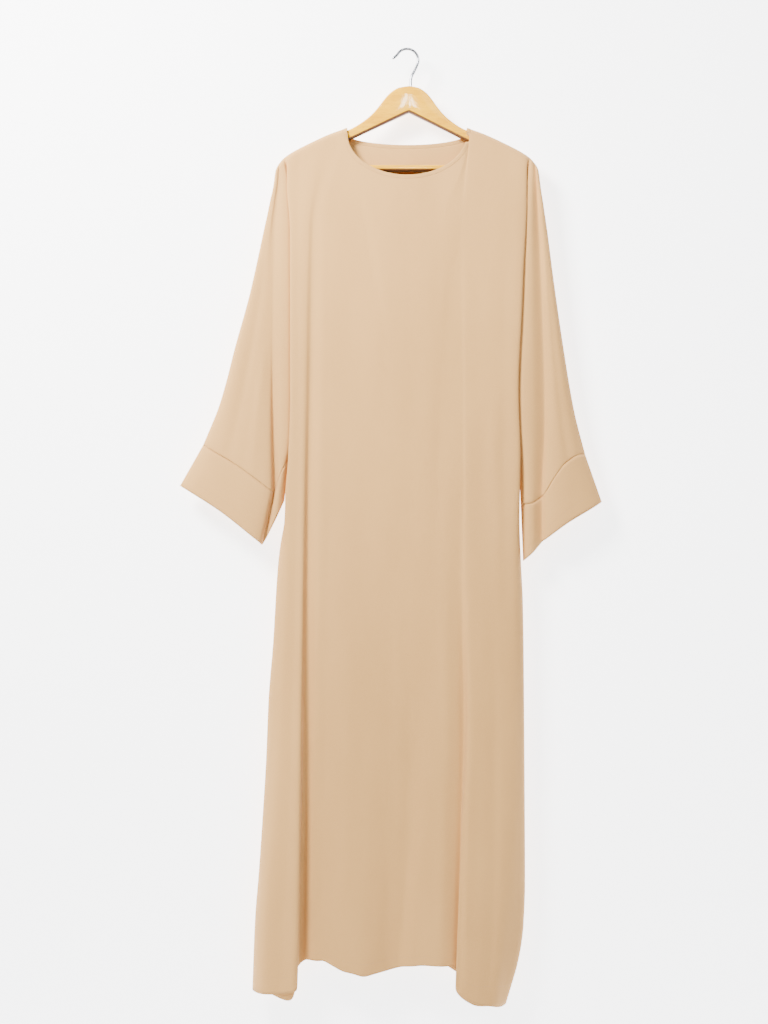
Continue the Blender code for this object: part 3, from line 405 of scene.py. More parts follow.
# The bottom of the tuck between the body and the sleeve: height, how far out it is, and how far it
# reaches in behind the body's edge
TUCK_FLOOR = [
    (-182.0, 10.0, 0.0), (-200.0, 5.0, 2.5), (-230.0, 2.0, 5.0), (-300.0, 1.2, 6.0), (-560.0, 1.0, 6.0),
    (-635.0, 1.0, 4.0), (-666.0, 0.15, 0.0),
]

# How the sewn edges turn in: how deep the groove of a cuff seam is, how far it reaches, and how far out of
# the middle plane it is whole
SEAM_GROOVE = 0.8
SEAM_REACH = 2.0
GROOVE_WHOLE = 4.0

# The cuffs: their steps from seam to mouth, depth, how far the mouth's edge turns in, the gap at the seam, and
# how far out the mouth is at each line
CUFF_ROWS = 18
CUFF_FOLD = 0.5
CUFF_GAP = 0.12
CUFF_MOUTH_OUT = {"outer": 10.0, "middle": 16.0, "trough": 2.0, "ridge": 9.5}

# The neck binding: where it starts inside the neck edge, how wide it is and how wide what shows of it is when
# laid flat, its thickness, and the sides of its section
BINDING_START = -0.5
BINDING_WIDTH = 7.2
BINDING_THICK = 2.0
BINDING_SIDES = 14

# Its section is an ellipse at a roundness of 1, and squarer below it. Its stitch row: how far from its outer
# edge, the dent's depth and reach, the least half thickness of the binding, and how deep the thread lies
BINDING_ROUND = 0.6
BINDING_STITCH = 1.4
BINDING_DENT = 0.45
DENT_REACH = 0.5
BINDING_LEAST = 0.3
STITCH_SINK = 0.25

# A stitch is a spindle: shares of its length from its middle, and of its radius
THREAD_PROFILE = ((-0.5, 0.35), (-0.22, 1.0), (0.22, 1.0), (0.5, 0.35))
THREAD_SIDES = 6


def smooth_values(rows, heights, column=1):
    """Values in a column of a table at these heights, on a smooth curve that doesn't overshoot."""
    places = -np.array([row[0] for row in rows])
    values = np.array([row[column] for row in rows])
    at = np.clip(-np.asarray(heights, float), places[0], places[-1])
    slopes = np.diff(values) / np.diff(places)
    tangents = np.concatenate([slopes[:1], np.zeros(len(slopes) - 1), slopes[-1:]])
    for i in range(1, len(slopes)):
        if slopes[i - 1] * slopes[i] > 0.0:
            tangents[i] = 2.0 * slopes[i - 1] * slopes[i] / (slopes[i - 1] + slopes[i])
    i = np.clip(np.searchsorted(places, at, side="right") - 1, 0, len(slopes) - 1)
    span = places[i + 1] - places[i]
    t = (at - places[i]) / span
    start = values[i] * (1 + 2 * t) * (1 - t) ** 2 + span * tangents[i] * t * (1 - t) ** 2
    end = values[i + 1] * t * t * (3 - 2 * t) - span * tangents[i + 1] * t * t * (1 - t)
    return start + end


def shoulder_heights(x):
    """Heights of the shoulder seam at these x."""
    return smooth_values([(-half, height) for half, height in SHOULDER], -np.abs(x))


def shoulder_x(height):
    """The half width at which the shoulder seam has this height."""
    return float(smooth_values([(seam_height, half) for half, seam_height in SHOULDER], height))


def rolled(out, drop):
    """How far out the cloth is at these drops below its seam, as it rolls over the hanger's arm."""
    share = np.clip(1.0 - drop / SHOULDER_ROLL, 0.0, 1.0)
    return np.maximum(HALF_GAP, out * np.sqrt(1.0 - share**2))


def neck_point(angle, drop):
    """A point of the neck edge: x, height. Past the roll over the hanger, the edge is half an ellipse."""
    if angle in (0.0, 180.0):
        return math.copysign(NECK_HALF_WIDTH, 90.0 - angle), NECK_HEIGHT
    turn = math.radians(angle)
    height = NECK_HEIGHT - NECK_ROLL - (drop - NECK_ROLL) * math.sin(turn)
    return NECK_HALF_WIDTH * math.cos(turn), height


def curves_through(points, steps):
    """Centripetal Catmull-Rom curves through lists of row points, with so many steps in each inner span."""
    made = []
    for i in range(1, len(points) - 2):
        p0, p1, p2, p3 = points[i - 1 : i + 3]
        t0 = np.zeros(len(p0))[:, None]
        t1 = t0 + np.maximum(np.linalg.norm(p1 - p0, axis=1), 1e-4)[:, None] ** 0.5
        t2 = t1 + np.maximum(np.linalg.norm(p2 - p1, axis=1), 1e-4)[:, None] ** 0.5
        t3 = t2 + np.maximum(np.linalg.norm(p3 - p2, axis=1), 1e-4)[:, None] ** 0.5
        for step in range(steps[i - 1]):
            t = t1 + (t2 - t1) * step / steps[i - 1]
            a1 = p0 * (t1 - t) / (t1 - t0) + p1 * (t - t0) / (t1 - t0)
            a2 = p1 * (t2 - t) / (t2 - t1) + p2 * (t - t1) / (t2 - t1)
            a3 = p2 * (t3 - t) / (t3 - t2) + p3 * (t - t2) / (t3 - t2)
            b1 = a1 * (t2 - t) / (t2 - t0) + a2 * (t - t0) / (t2 - t0)
            b2 = a2 * (t3 - t) / (t3 - t1) + a3 * (t - t1) / (t3 - t1)
            made.append(b1 * (t2 - t) / (t2 - t1) + b2 * (t - t1) / (t2 - t1))
    made.append(points[-2])
    return np.array(made)


def seamed(points, before=None, after=None):
    """Row points with one more at each end, mirrored in the seam's plane unless it is given."""
    flip = np.array((1.0, -1.0, 1.0))
    first = points[1] * flip if before is None else before
    last = points[-2] * flip if after is None else after
    return [first] + list(points) + [last]


def between(entries):
    """The entries with one more half way between each two."""
    made = [entries[0]]
    for a, b in zip(entries, entries[1:]):
        made += [tuple((u + v) / 2 for u, v in zip(a, b)), b]
    return made


def line_heights(levels, top, hem, start):
    """Heights of a line that runs from its own top to its own hem, at these levels of the side seam."""
    upper = top + (LEVEL_HEIGHT - top) * (start - levels) / (start - LEVEL_HEIGHT)
    lower = HEM_LEVEL + (hem - HEM_LEVEL) * (HEM_LEVEL - levels) / HEM_DEPTH
    return np.where(levels > LEVEL_HEIGHT, upper, np.where(levels < HEM_LEVEL, lower, levels))


def even_steps(lengths, size):
    """How many steps each span gets, so that no step is much longer than this size."""
    return [max(2, round(length / size)) for length in lengths]


def beside(low, high, reach, rise):
    """A line within this reach of a low line, at a share of the way up to a higher one."""
    across = high - low
    wide = np.maximum(np.abs(across[:, 0]), 0.001)
    line = low + across * np.minimum(reach / wide, 0.5)[:, None]
    line[:, 1] = low[:, 1] + across[:, 1] * rise
    return line


def with_edges(lines, rise):
    """A sleeve's lines in order, with a brow beside its trough and a lip beside its tuck."""
    brow = beside(lines["trough"], lines["middle"], BROW_REACH, rise)
    lip = beside(lines["tuck"], lines["ridge"], LIP_REACH, LIP_RISE)
    return [brow if name == "brow" else lip if name == "lip" else lines[name] for name in SLEEVE_LINES]


class Panel:
    """The front or the back: lines down the cloth, its creases, and the rows of points across it."""

    def __init__(self, side, lines, spread, neck_drop, sleeve_depth, creases):
        self.side = side
        self.lines = lines
        self.spread = between(spread)
        self.neck_drop = neck_drop
        self.sleeve_depth = sleeve_depth
        self.creases = creases
        names = list(lines)
        first = "valley_left" if "valley_left" in lines else "fall_left"
        last = "valley_right" if "valley_right" in lines else "fall_right"
        self.left_names = names[: names.index(first) + 1]
        self.right_names = names[names.index(last) :]

    def place(self, x, out, heights):
        return np.stack([x, self.side * np.maximum(out, HALF_GAP), heights], axis=1)

    def body_line(self, name, levels):
        """The points of a named body line, and whether it starts at the shoulder rather than the neck."""
        rows = list(self.lines[name])
        if rows[0][0] == 0.0:
            x, top = neck_point(rows[0][1], self.neck_drop)
            rows[0] = (top, x, rows[0][2])
            heights = line_heights(levels, top, rows[-1][0], NECK_LEVEL)
            drop = NECK_HEIGHT - heights
        else:
            heights = line_heights(levels, rows[0][0], rows[-1][0], SIDE_LEFT[0][0])
            drop = rows[0][0] - heights
        out = rolled(smooth_values(rows, heights, 2), drop)
        return self.place(smooth_values(rows, heights), out, heights), self.lines[name][0][0] != 0.0

    def side_line(self, table, levels):
        """The points of a side seam, which above the underarm is the tuck between body and sleeve."""
        top = table[0][0]
        heights = line_heights(levels, top, table[-1][0], SIDE_LEFT[0][0])
        out = np.where(heights > UNDERARM_HEIGHT, smooth_values(TUCK_FLOOR, heights), HALF_GAP)
        x = smooth_values(table, heights)
        under = np.where(heights > UNDERARM_HEIGHT, smooth_values(TUCK_FLOOR, heights, 2), 0.0)
        return self.place(x - np.sign(x) * under, rolled(out, top - heights), heights)

    def spread_line(self, entry, levels, first, last):
        """The points of a line between the valleys, at a share of the way from one to the other."""
        angle, share, chest, knee, hem, hem_height = entry
        at_shoulder = angle in (0.0, 180.0)
        x, top = neck_point(angle, self.neck_drop)
        start = SIDE_LEFT[0][0] if at_shoulder else NECK_LEVEL
        heights = line_heights(levels, top, hem_height, start)
        t = np.clip((top - heights) / (top - LEVEL_HEIGHT), 0.0, 1.0)
        level_x = [smooth_values(self.lower_rows(name), LEVEL_HEIGHT) for name in self.valley_names()]
        upper_x = x + (level_x[0] + (level_x[1] - level_x[0]) * share - x) * t * t * (3 - 2 * t)
        lower_x = first[:, 0] + (last[:, 0] - first[:, 0]) * share
        outs = [(NECK_HEIGHT, SHOULDER_OUT), (CHEST_HEIGHT, chest), (WAIST_HEIGHT, chest)]
        outs += [(KNEE_HEIGHT, knee), (hem_height, hem)]
        out = rolled(smooth_values(outs, heights), NECK_HEIGHT - heights)
        return self.place(np.where(levels > LEVEL_HEIGHT, upper_x, lower_x), out, heights), at_shoulder

    def valley_names(self):
        return self.left_names[-1], self.right_names[0]

    def lower_rows(self, name):
        rows = self.lines[name]
        return rows[1:] if rows[0][0] == 0.0 else rows

    def body_lines(self, levels):
        """All named lines of the body from the left seam to the right one, and which reach the shoulder."""
        left = [self.body_line(name, levels) for name in self.left_names]
        right = [self.body_line(name, levels) for name in self.right_names]
        spread = [self.spread_line(entry, levels, left[-1][0], right[0][0]) for entry in self.spread]
        pairs = left + spread + right
        points = [self.side_line(SIDE_LEFT, levels)] + [pair[0] for pair in pairs]
        points.append(self.side_line(SIDE_RIGHT, levels))
        return points, [True] + [pair[1] for pair in pairs] + [True]

    def sleeve_lines(self, hand, shares, tuck=None):
        """The named lines of a sleeve, from the overarm to the tuck, at shares of its length."""
        overarm = OVERARM_LEFT if hand == "left" else OVERARM_RIGHT
        rise = smooth_values(BROW_RISE[hand], -shares)
        lines = {}
        for name in SLEEVE_ORDER:
            (top, bottom), _, across, table = SLEEVES[hand][name]
            heights = top + (bottom - top) * shares
            if name == "overarm":
                lines[name] = self.place(smooth_values(overarm, heights), HALF_GAP + 0.0 * heights, heights)
            elif name == "tuck":
                seam = self.place(smooth_values(table, heights), HALF_GAP + 0.0 * heights, heights)
                lines[name] = seam if tuck is None else tuck
            else:
                column = 2 if across is None else 1
                out = self.sleeve_depth * smooth_values(table, heights, column)
                out = self.roll_sleeve(out, top - heights) * (1.0 - FOLD_SINK.get(name, 0.0) * rise)
                x = smooth_values(table, heights)
                if across is not None:
                    outer = smooth_values(overarm, heights)
                    trough = smooth_values(SLEEVES[hand]["trough"][3], heights)
                    start = shoulder_x(top) * (1.0 if hand == "right" else -1.0)
                    spread = np.minimum(1.0, shares / SPREAD_SHARE)
                    x = start + (outer + (trough - outer) * across - start) * spread
                lines[name] = self.place(x, out, heights)
        return with_edges(lines, rise)

    def roll_sleeve(self, out, drop):
        return rolled(np.where(drop < SLEEVE_TOP_DROP, np.maximum(out, SHOULDER_OUT), out), drop)

    def sleeve_shares(self, hand, levels):
        """How far down the sleeve these levels are, above the underarm."""
        top, bottom = SLEEVES[hand]["tuck"][0]
        return (top - levels) / (top - bottom)


class Grid:
    """Points of a sheet in rows and columns, with the quads between them, in millimetres."""

    def __init__(self):
        self.points = []
        self.faces = []
        self.count = 0

    def add_rows(self, rows):
        """Adds an array of rows by columns of points, and gives their numbers in the same shape."""
        rows = np.asarray(rows, float)
        numbers = self.count + np.arange(rows.shape[0] * rows.shape[1]).reshape(rows.shape[:2])
        self.points.append(rows.reshape(-1, 3))
        self.count += numbers.size
        return numbers

    def stitch(self, numbers, flip):
        """Adds the quads between neighbouring rows and columns of these numbers."""
        a, b = numbers[:-1, :-1].ravel(), numbers[:-1, 1:].ravel()
        c, d = numbers[1:, 1:].ravel(), numbers[1:, :-1].ravel()
        self.faces.append(np.stack([a, b, c, d] if flip else [d, c, b, a], axis=1))

    def all_points(self):
        return np.concatenate(self.points)

    def all_faces(self):
        return np.concatenate(self.faces)


def normals_of(points, faces):
    """Smooth unit normals of a mesh of quads."""
    corner = points[faces]
    normal = np.cross(corner[:, 2] - corner[:, 0], corner[:, 3] - corner[:, 1])
    total = np.zeros_like(points)
    for k in range(4):
        np.add.at(total, faces[:, k], normal)
    return total / np.maximum(np.linalg.norm(total, axis=1), 1e-9)[:, None]


def crease_out(creases, x, height):
    """How far soft creases move the cloth out, at these places of a panel."""
    out = np.zeros_like(x)
    for rows in creases:
        middle, left, right, depth = (smooth_values(rows, height, column) for column in range(1, 5))
        away = (x - middle) / np.where(x < middle, left, right)
        inside = (height < rows[0][0]) & (height > rows[-1][0])
        out -= np.where(inside, depth * np.exp(-(away**2)), 0.0)
    return out


def slow_waves(points, seed, depth):
    """Faint long unevenness of hanging cloth, which runs down it more than across."""
    wide, deep, tall = WAVE_LENGTHS
    values = [noise.noise((x / wide, y / deep + seed, z / tall)) for x, y, z in points]
    return depth * np.array(values)


def creased(points, panel, seed, strength):
    """The points of a panel with its creases, which die away at its seams and its neck."""
    out = np.abs(points[:, 1])
    hold = np.clip((out - HOLD_START) / HOLD_REACH, 0.0, 1.0)
    hold *= np.clip((NECK_HEIGHT - points[:, 2]) / HOLD_DROP, 0.0, 1.0)
    moved = crease_out(panel.creases, points[:, 0], points[:, 2]) + slow_waves(points, seed, WAVE_DEPTH)
    shifted = points.copy()
    shifted[:, 1] = panel.side * np.maximum(out + strength * hold * moved, HALF_GAP)
    return shifted


def upper_levels():
    """Levels of the rows from the shoulder to the underarm."""
    top = SIDE_LEFT[0][0]
    near = [top - drop for drop in SHOULDER_DROPS]
    count = round((near[-1] - UNDERARM_HEIGHT) / ROW_STEP)
    return np.concatenate([near, np.linspace(near[-1], UNDERARM_HEIGHT, count + 1)[1:]])


def longest_spans(lines):
    """The longest length of each span across the rows, which sets its number of steps."""
    return [float(np.max(np.linalg.norm(b - a, axis=1))) for a, b in zip(lines, lines[1:])]


def build_panel(panel):
    """The middle surface of a panel: its points, its quads, its neck edge and its hem row."""
    levels = upper_levels()
    body, at_shoulder = panel.body_lines(levels)
    left = panel.sleeve_lines("left", panel.sleeve_shares("left", levels), body[0])
    right = panel.sleeve_lines("right", panel.sleeve_shares("right", levels), body[-1])[::-1]
    ends = {hand: panel.sleeve_lines(hand, np.array([1.0])) for hand in ("left", "right")}
    hem_bottom = HEM_LEVEL - HEM_DEPTH
    lower = np.linspace(UNDERARM_HEIGHT, hem_bottom, round((UNDERARM_HEIGHT - hem_bottom) / ROW_STEP) + 1)
    lower_body = panel.body_lines(lower)[0]
    sleeve_steps = even_steps(longest_spans(ends["left"]), COLUMN_STEP)
    right_steps = even_steps(longest_spans(ends["right"][::-1]), COLUMN_STEP)
    body_steps = even_steps(longest_spans(lower_body), COLUMN_STEP)
    steps = sleeve_steps + body_steps + right_steps
    left_tuck, right_tuck = sum(sleeve_steps), sum(sleeve_steps) + sum(body_steps)

    named = left + body[1:-1] + right
    whole = curves_through(seamed(named), steps)
    parted = np.concatenate([
        curves_through(seamed(left), sleeve_steps)[:-1],
        curves_through(seamed(body), body_steps),
        curves_through(seamed(right), right_steps)[1:],
    ])
    part_share = np.clip((UNDERARM_HEIGHT + UNDERARM_BLEND - levels) / UNDERARM_BLEND, 0.0, 1.0)
    rows = (whole + (parted - whole) * part_share[None, :, None]).transpose(1, 0, 2)

    shoulder_rows = int(np.sum(levels > NECK_LEVEL + 1e-6))
    reaches = [True] * len(left) + at_shoulder[1:-1] + [True] * len(right)
    first = reaches.index(False)
    last = len(reaches) - reaches[::-1].index(False)
    left_end = named[first - 1] * 2 - named[first - 2]
    right_end = named[last] * 2 - named[last + 1]
    left_shoulder = curves_through(seamed(named[:first], after=left_end), steps[: first - 1])
    right_shoulder = curves_through(seamed(named[last:], before=right_end), steps[last:])
    left_count, right_count = len(left_shoulder), len(right_shoulder)
    rows[:shoulder_rows, :left_count] = left_shoulder.transpose(1, 0, 2)[:shoulder_rows]
    rows[:shoulder_rows, -right_count:] = right_shoulder.transpose(1, 0, 2)[:shoulder_rows]
    settle = shoulder_heights(rows[0, :, 0]) - rows[0, :, 2]
    settle[left_count:-right_count] = 0.0
    fade = np.clip(1.0 - (levels[0] - levels) / SETTLE_DROP, 0.0, 1.0)
    rows[:, :, 2] += settle[None, :] * fade[:, None]
    rows[0, :, 1] = panel.side * HALF_GAP

    grid = Grid()
    flip = panel.side > 0
    numbers = grid.add_rows(rows)
    grid.stitch(numbers[: shoulder_rows + 1, :left_count], flip)
    grid.stitch(numbers[: shoulder_rows + 1, -right_count:], flip)
    grid.stitch(numbers[shoulder_rows:], flip)

    lower_rows = curves_through(seamed(lower_body), body_steps).transpose(1, 0, 2)
    lower_numbers = grid.add_rows(lower_rows[1:])
    meet = numbers[-1:, left_tuck : right_tuck + 1]
    grid.stitch(np.concatenate([meet, lower_numbers]), flip)

    for hand, hand_steps, edge in (
        ("left", sleeve_steps, numbers[-1:, : left_tuck + 1]),
        ("right", right_steps, numbers[-1:, right_tuck:]),
    ):
        grid.stitch(np.concatenate([edge, add_sleeve_end(grid, panel, hand, hand_steps)]), flip)

    neck_left, neck_right = left_count - 1, rows.shape[1] - right_count
    neck = np.concatenate([
        numbers[:shoulder_rows, neck_left],
        numbers[shoulder_rows, neck_left : neck_right + 1],
        numbers[shoulder_rows - 1 :: -1, neck_right],
    ])
    return grid.all_points(), grid.all_faces(), neck, lower_numbers


def add_sleeve_end(grid, panel, hand, steps):
    """The rows of a sleeve below the underarm, down to its cuff seam, where the cloth turns in."""
    start = float(panel.sleeve_shares(hand, np.array([UNDERARM_HEIGHT]))[0])
    lines = panel.sleeve_lines(hand, np.array([start, 1.0]))
    longest = max(float(np.linalg.norm(line[1] - line[0])) for line in lines)
    count = max(6, round(longest / CUFF_STEP))
    shares = start + (1.0 - start) * np.linspace(0.0, 1.0, count + 1)
    lines = panel.sleeve_lines(hand, shares)
    if hand == "right":
        lines = lines[::-1]
    rows = curves_through(seamed(lines), steps).transpose(1, 0, 2)
    rows[:, :, 1] = turned_in(rows[:, :, 1], groove_beside(rows, rows[-1:], SEAM_GROOVE), HALF_GAP)
    return grid.add_rows(rows[1:])


def groove_beside(rows, edge, depth):
    """How deep the groove beside a sewn edge is at each point of these rows."""
    reach = np.linalg.norm(rows - edge, axis=2)
    return depth * np.exp(-((reach / SEAM_REACH) ** 2))


def turned_in(y, groove, least):
    """Distances from the middle plane, less by the groove, but never less than the least one."""
    out = np.abs(y)
    return np.sign(y) * np.maximum(out - groove * np.clip(out / GROOVE_WHOLE, 0.0, 1.0), least)


def cuff_rows(panels, hand):
    """Rows of points around a cuff, from its seam to its mouth."""
    around = []
    for panel in panels:
        seam = [line[0] for line in panel.sleeve_lines(hand, np.array([1.0]))]
        ends = {}
        for name in SLEEVE_ORDER:
            height, x = SLEEVES[hand][name][1]
            ends[name] = np.array([[x, panel.side * CUFF_MOUTH_OUT.get(name, 0.0), height]])
        mouths = with_edges(ends, BROW_RISE[hand][-1][1])
        lines = []
        for i, (name, top) in enumerate(zip(SLEEVE_LINES, seam)):
            mouth = mouths[i][0]
            near = seam[max(i - 1, 0) : i] + seam[i + 1 : i + 2]
            drop = CUFF_GAP * max(np.linalg.norm(point - top) / abs(point[0] - top[0]) for point in near)
            y = 0.0 if name in ("overarm", "tuck") else top[1]
            start = np.array((top[0], y, top[2] - drop))
            shares = np.linspace(0.0, 1.0, CUFF_ROWS + 1)[:, None]
            lines.append(start + (mouth - start) * shares)
        around.append(lines)
    loop = around[0] + around[1][-2:0:-1]
    steps = even_steps(longest_spans(loop + loop[:1]), CUFF_STEP)
    rows = curves_through([loop[-1]] + loop + loop[:2], steps)[:-1].transpose(1, 0, 2)
    groove = groove_beside(rows, rows[:1], SEAM_GROOVE) + groove_beside(rows, rows[-1:], CUFF_FOLD)
    rows[:, :, 1] = turned_in(rows[:, :, 1], groove, 0.0)
    return rows


def length_around(loop):
    """The length of a closed loop of points."""
    return float(np.linalg.norm(loop - np.roll(loop, 1, axis=0), axis=1).sum())


def ring_edge(parts):
    """The neck edge all round, as points and normals: along the front, then back along the back."""
    ring_points, ring_normals = [], []
    for k, (points, faces, neck, _) in enumerate(parts):
        normals = normals_of(points, faces)
        order = neck if k == 0 else neck[-2:0:-1]
        ring_points.append(points[order])
        ring_normals.append(normals[order])
    return np.concatenate(ring_points), np.concatenate(ring_normals)


def tube_faces(rows, columns, closed_rows, closed_columns, start=0):
    """Quads between neighbouring rows and columns of a grid that may close on itself."""
    faces = []
    for i in range(rows if closed_rows else rows - 1):
        here, there = start + i * columns, start + (i + 1) % rows * columns
        for k in range(columns if closed_columns else columns - 1):
            m = (k + 1) % columns
            faces.append((here + k, here + m, there + m, there + k))
    return faces


def swept_tube(path, radius, sides):
    """A round tube with closed ends along a path, as points and faces. It twists as little as it can."""
    path = np.asarray(path, float)
    along = np.gradient(path, axis=0)
    along /= np.linalg.norm(along, axis=1)[:, None]
    across = np.cross(along[0], (0.0, 1.0, 0.0))
    radii = radius if np.ndim(radius) else np.full(len(path), radius)
    points = []
    for place, way, size in zip(path, along, radii):
        across = across - way * np.dot(across, way)
        across /= np.linalg.norm(across)
        third = np.cross(way, across)
        for k in range(sides):
            turn = math.tau * k / sides
            points.append(place + size * (math.cos(turn) * across + math.sin(turn) * third))
    faces = tube_faces(len(path), sides, False, True)
    faces.append(tuple(range(sides - 1, -1, -1)))
    faces.append(tuple(range((len(path) - 1) * sides, len(path) * sides)))
    return np.array(points), faces


def even_path(points, step):
    """A path resampled to points about this far apart."""
    lengths = np.concatenate([[0.0], np.cumsum(np.linalg.norm(np.diff(points, axis=0), axis=1))])
    count = max(2, round(lengths[-1] / step))
    at = np.linspace(0.0, lengths[-1], count + 1)
    return np.stack([np.interp(at, lengths, points[:, k]) for k in range(3)], axis=1)


def add_piece(name, points_mm, faces, material):
    """A smooth mesh object in metres that rides on the one body."""
    points = (np.asarray(points_mm) * MM).tolist()
    mesh = bpy.data.meshes.new(name)
    mesh.from_pydata(points, [], [tuple(int(i) for i in face) for face in faces])
    mesh.validate()
    mesh.shade_smooth()
    mesh.materials.append(material)
    piece = bpy.data.objects.new(name, mesh)
    bpy.context.scene.collection.objects.link(piece)
    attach(piece, "root")
    return piece


def add_shell(name, points, faces, material, thickness):
    """A thin shell of cloth about a middle surface. Its thickness is in metres."""
    piece = add_piece(name, points, faces, material)
    shell = piece.modifiers.new("cloth thickness", "SOLIDIFY")
    shell.thickness = thickness
    shell.offset = 0.0
    shell.use_even_offset = False
    shell.use_rim = True
    return piece


def binding_mesh(edge, normals):
    """The binding: a narrow folded strip around the neck edge, with rounded sides, and its stitch line."""
    along = np.roll(edge, -1, axis=0) - np.roll(edge, 1, axis=0)
    along /= np.linalg.norm(along, axis=1)[:, None]
    inward = np.cross(normals, along)
    half_width, middle = BINDING_WIDTH / 2, BINDING_START + BINDING_WIDTH / 2
    rows = []
    for k in range(BINDING_SIDES):
        turn = math.tau * k / BINDING_SIDES
        across = math.copysign(abs(math.cos(turn)) ** BINDING_ROUND, math.cos(turn)) * half_width
        high = math.copysign(abs(math.sin(turn)) ** BINDING_ROUND, math.sin(turn)) * BINDING_THICK / 2
        dent = BINDING_DENT * math.exp(-(((across + half_width - BINDING_STITCH) / DENT_REACH) ** 2))
        high = math.copysign(max(abs(high) - dent, BINDING_LEAST), high)
        rows.append(edge + inward * (middle + across) + normals * high)
    rows = np.array(rows)
    faces = tube_faces(rows.shape[0], rows.shape[1], True, True)
    stitch_line = edge + inward * (BINDING_START + BINDING_STITCH)
    stitch_line = stitch_line + normals * (BINDING_THICK / 2 - STITCH_SINK)
    return rows.reshape(-1, 3), faces, stitch_line


def thread_run(path, pitch, length, radius):
    """A run of short stitches along a path: small closed spindles that lie half in the cloth."""
    spots = even_path(path, pitch)
    points, faces = [], []
    for a, b in zip(spots, spots[1:]):
        way = b - a
        size = np.linalg.norm(way)
        if size < 1e-6:
            continue
        way /= size
        across = np.cross(way, (0.0, 1.0, 0.0))
        across /= max(np.linalg.norm(across), 1e-6)
        third = np.cross(way, across)
        centre = (a + b) / 2
        start = len(points)
        for shift, share in THREAD_PROFILE:
            for k in range(THREAD_SIDES):
                turn = math.tau * k / THREAD_SIDES
                side = math.cos(turn) * across + math.sin(turn) * third
                points.append(centre + way * shift * length + side * radius * share)
        faces += tube_faces(len(THREAD_PROFILE), THREAD_SIDES, False, True, start)
        faces.append(tuple(start + k for k in range(THREAD_SIDES - 1, -1, -1)))
        last = len(points) - THREAD_SIDES
        faces.append(tuple(last + k for k in range(THREAD_SIDES)))
    return points, faces


def wood_profile(table, x):
    """The height of the hanger's outline at this x. Its hump stands a little off the middle."""
    shift = HUMP_SHIFT * max(0.0, 1.0 - abs(x) / HUMP_HALF_WIDTH)
    return float(smooth_values([(-half, height) for half, height in table], -abs(x - shift)))


def wood_mesh():
    """The hanger's body: rounded sections along its length, closer together towards its ends."""
    reach = WOOD_TOP[-1][0]
    shares = np.linspace(-1.0, 1.0, WOOD_SECTIONS)
    stations = reach * np.sin(shares * math.pi / 2)
    points = []
    for x in stations:
        top, under = wood_profile(WOOD_TOP, x), wood_profile(WOOD_UNDER, x)
        half = (WOOD_THICK + WOOD_SWELL * math.exp(-((x / SWELL_HALF_WIDTH) ** 2))) / 2
        tall = (top - under) / 2
        turn = min(WOOD_ROUND, tall * MOST_ROUND)
        if tall < TIP_HALF_HEIGHT:
            half *= TIP_THIN + (1.0 - TIP_THIN) * max(0.0, tall - TIP_EDGE) / (TIP_HALF_HEIGHT - TIP_EDGE)
        for corner, (sy, sz) in enumerate(((-1, 1), (-1, -1), (1, -1), (1, 1))):
            for step in range(WOOD_CORNER_STEPS):
                angle = math.radians(90.0 * (1 + corner + step / (WOOD_CORNER_STEPS - 1)))
                y = sy * max(half - turn, 0.0) + min(turn, half) * math.cos(angle)
                z = (top + under) / 2 + sz * (tall - turn) + turn * math.sin(angle)
                points.append((x, y, z))
    size = 4 * WOOD_CORNER_STEPS
    faces = tube_faces(len(stations), size, False, True)
    faces = [face[::-1] for face in faces]
    faces.append(tuple(range(size)))
    faces.append(tuple(range(len(points) - 1, len(points) - 1 - size, -1)))
    return points, faces


def hook_path():
    """The middle of the wire: an arc over the rail, a flicked tip, and an S bend down to the wood."""
    centre = WIRE_RADIUS - HOOK_RADIUS
    route = list(HOOK_TIP)
    for degrees in HOOK_ARC:
        angle = math.radians(degrees)
        route.append((HOOK_RADIUS * math.cos(angle), centre + HOOK_RADIUS * math.sin(angle)))
    route += HOOK_BEND + [(STEM_X, height) for height in (STEM_TOP, STEM_MIDDLE, STEM_END)]
    named = [np.array([[x, 0.0, z]]) for x, z in route]
    ends = [2 * named[0] - named[1]] + named + [2 * named[-1] - named[-2]]
    return curves_through(ends, [HOOK_STEPS] * (len(named) - 1))[:, 0]


class Socket:
    """A shader socket that takes part in arithmetic: each operator adds its Math node."""

    def __init__(self, shader, link):
        self.shader = shader
        self.link = link

    def math(self, operation, *values):
        return self.shader.node("ShaderNodeMath", {"operation": operation}, dict(enumerate(values)))

    def __add__(self, other):
        return self.math("ADD", self, other)

    def __mul__(self, other):
        return self.math("MULTIPLY", self, other)


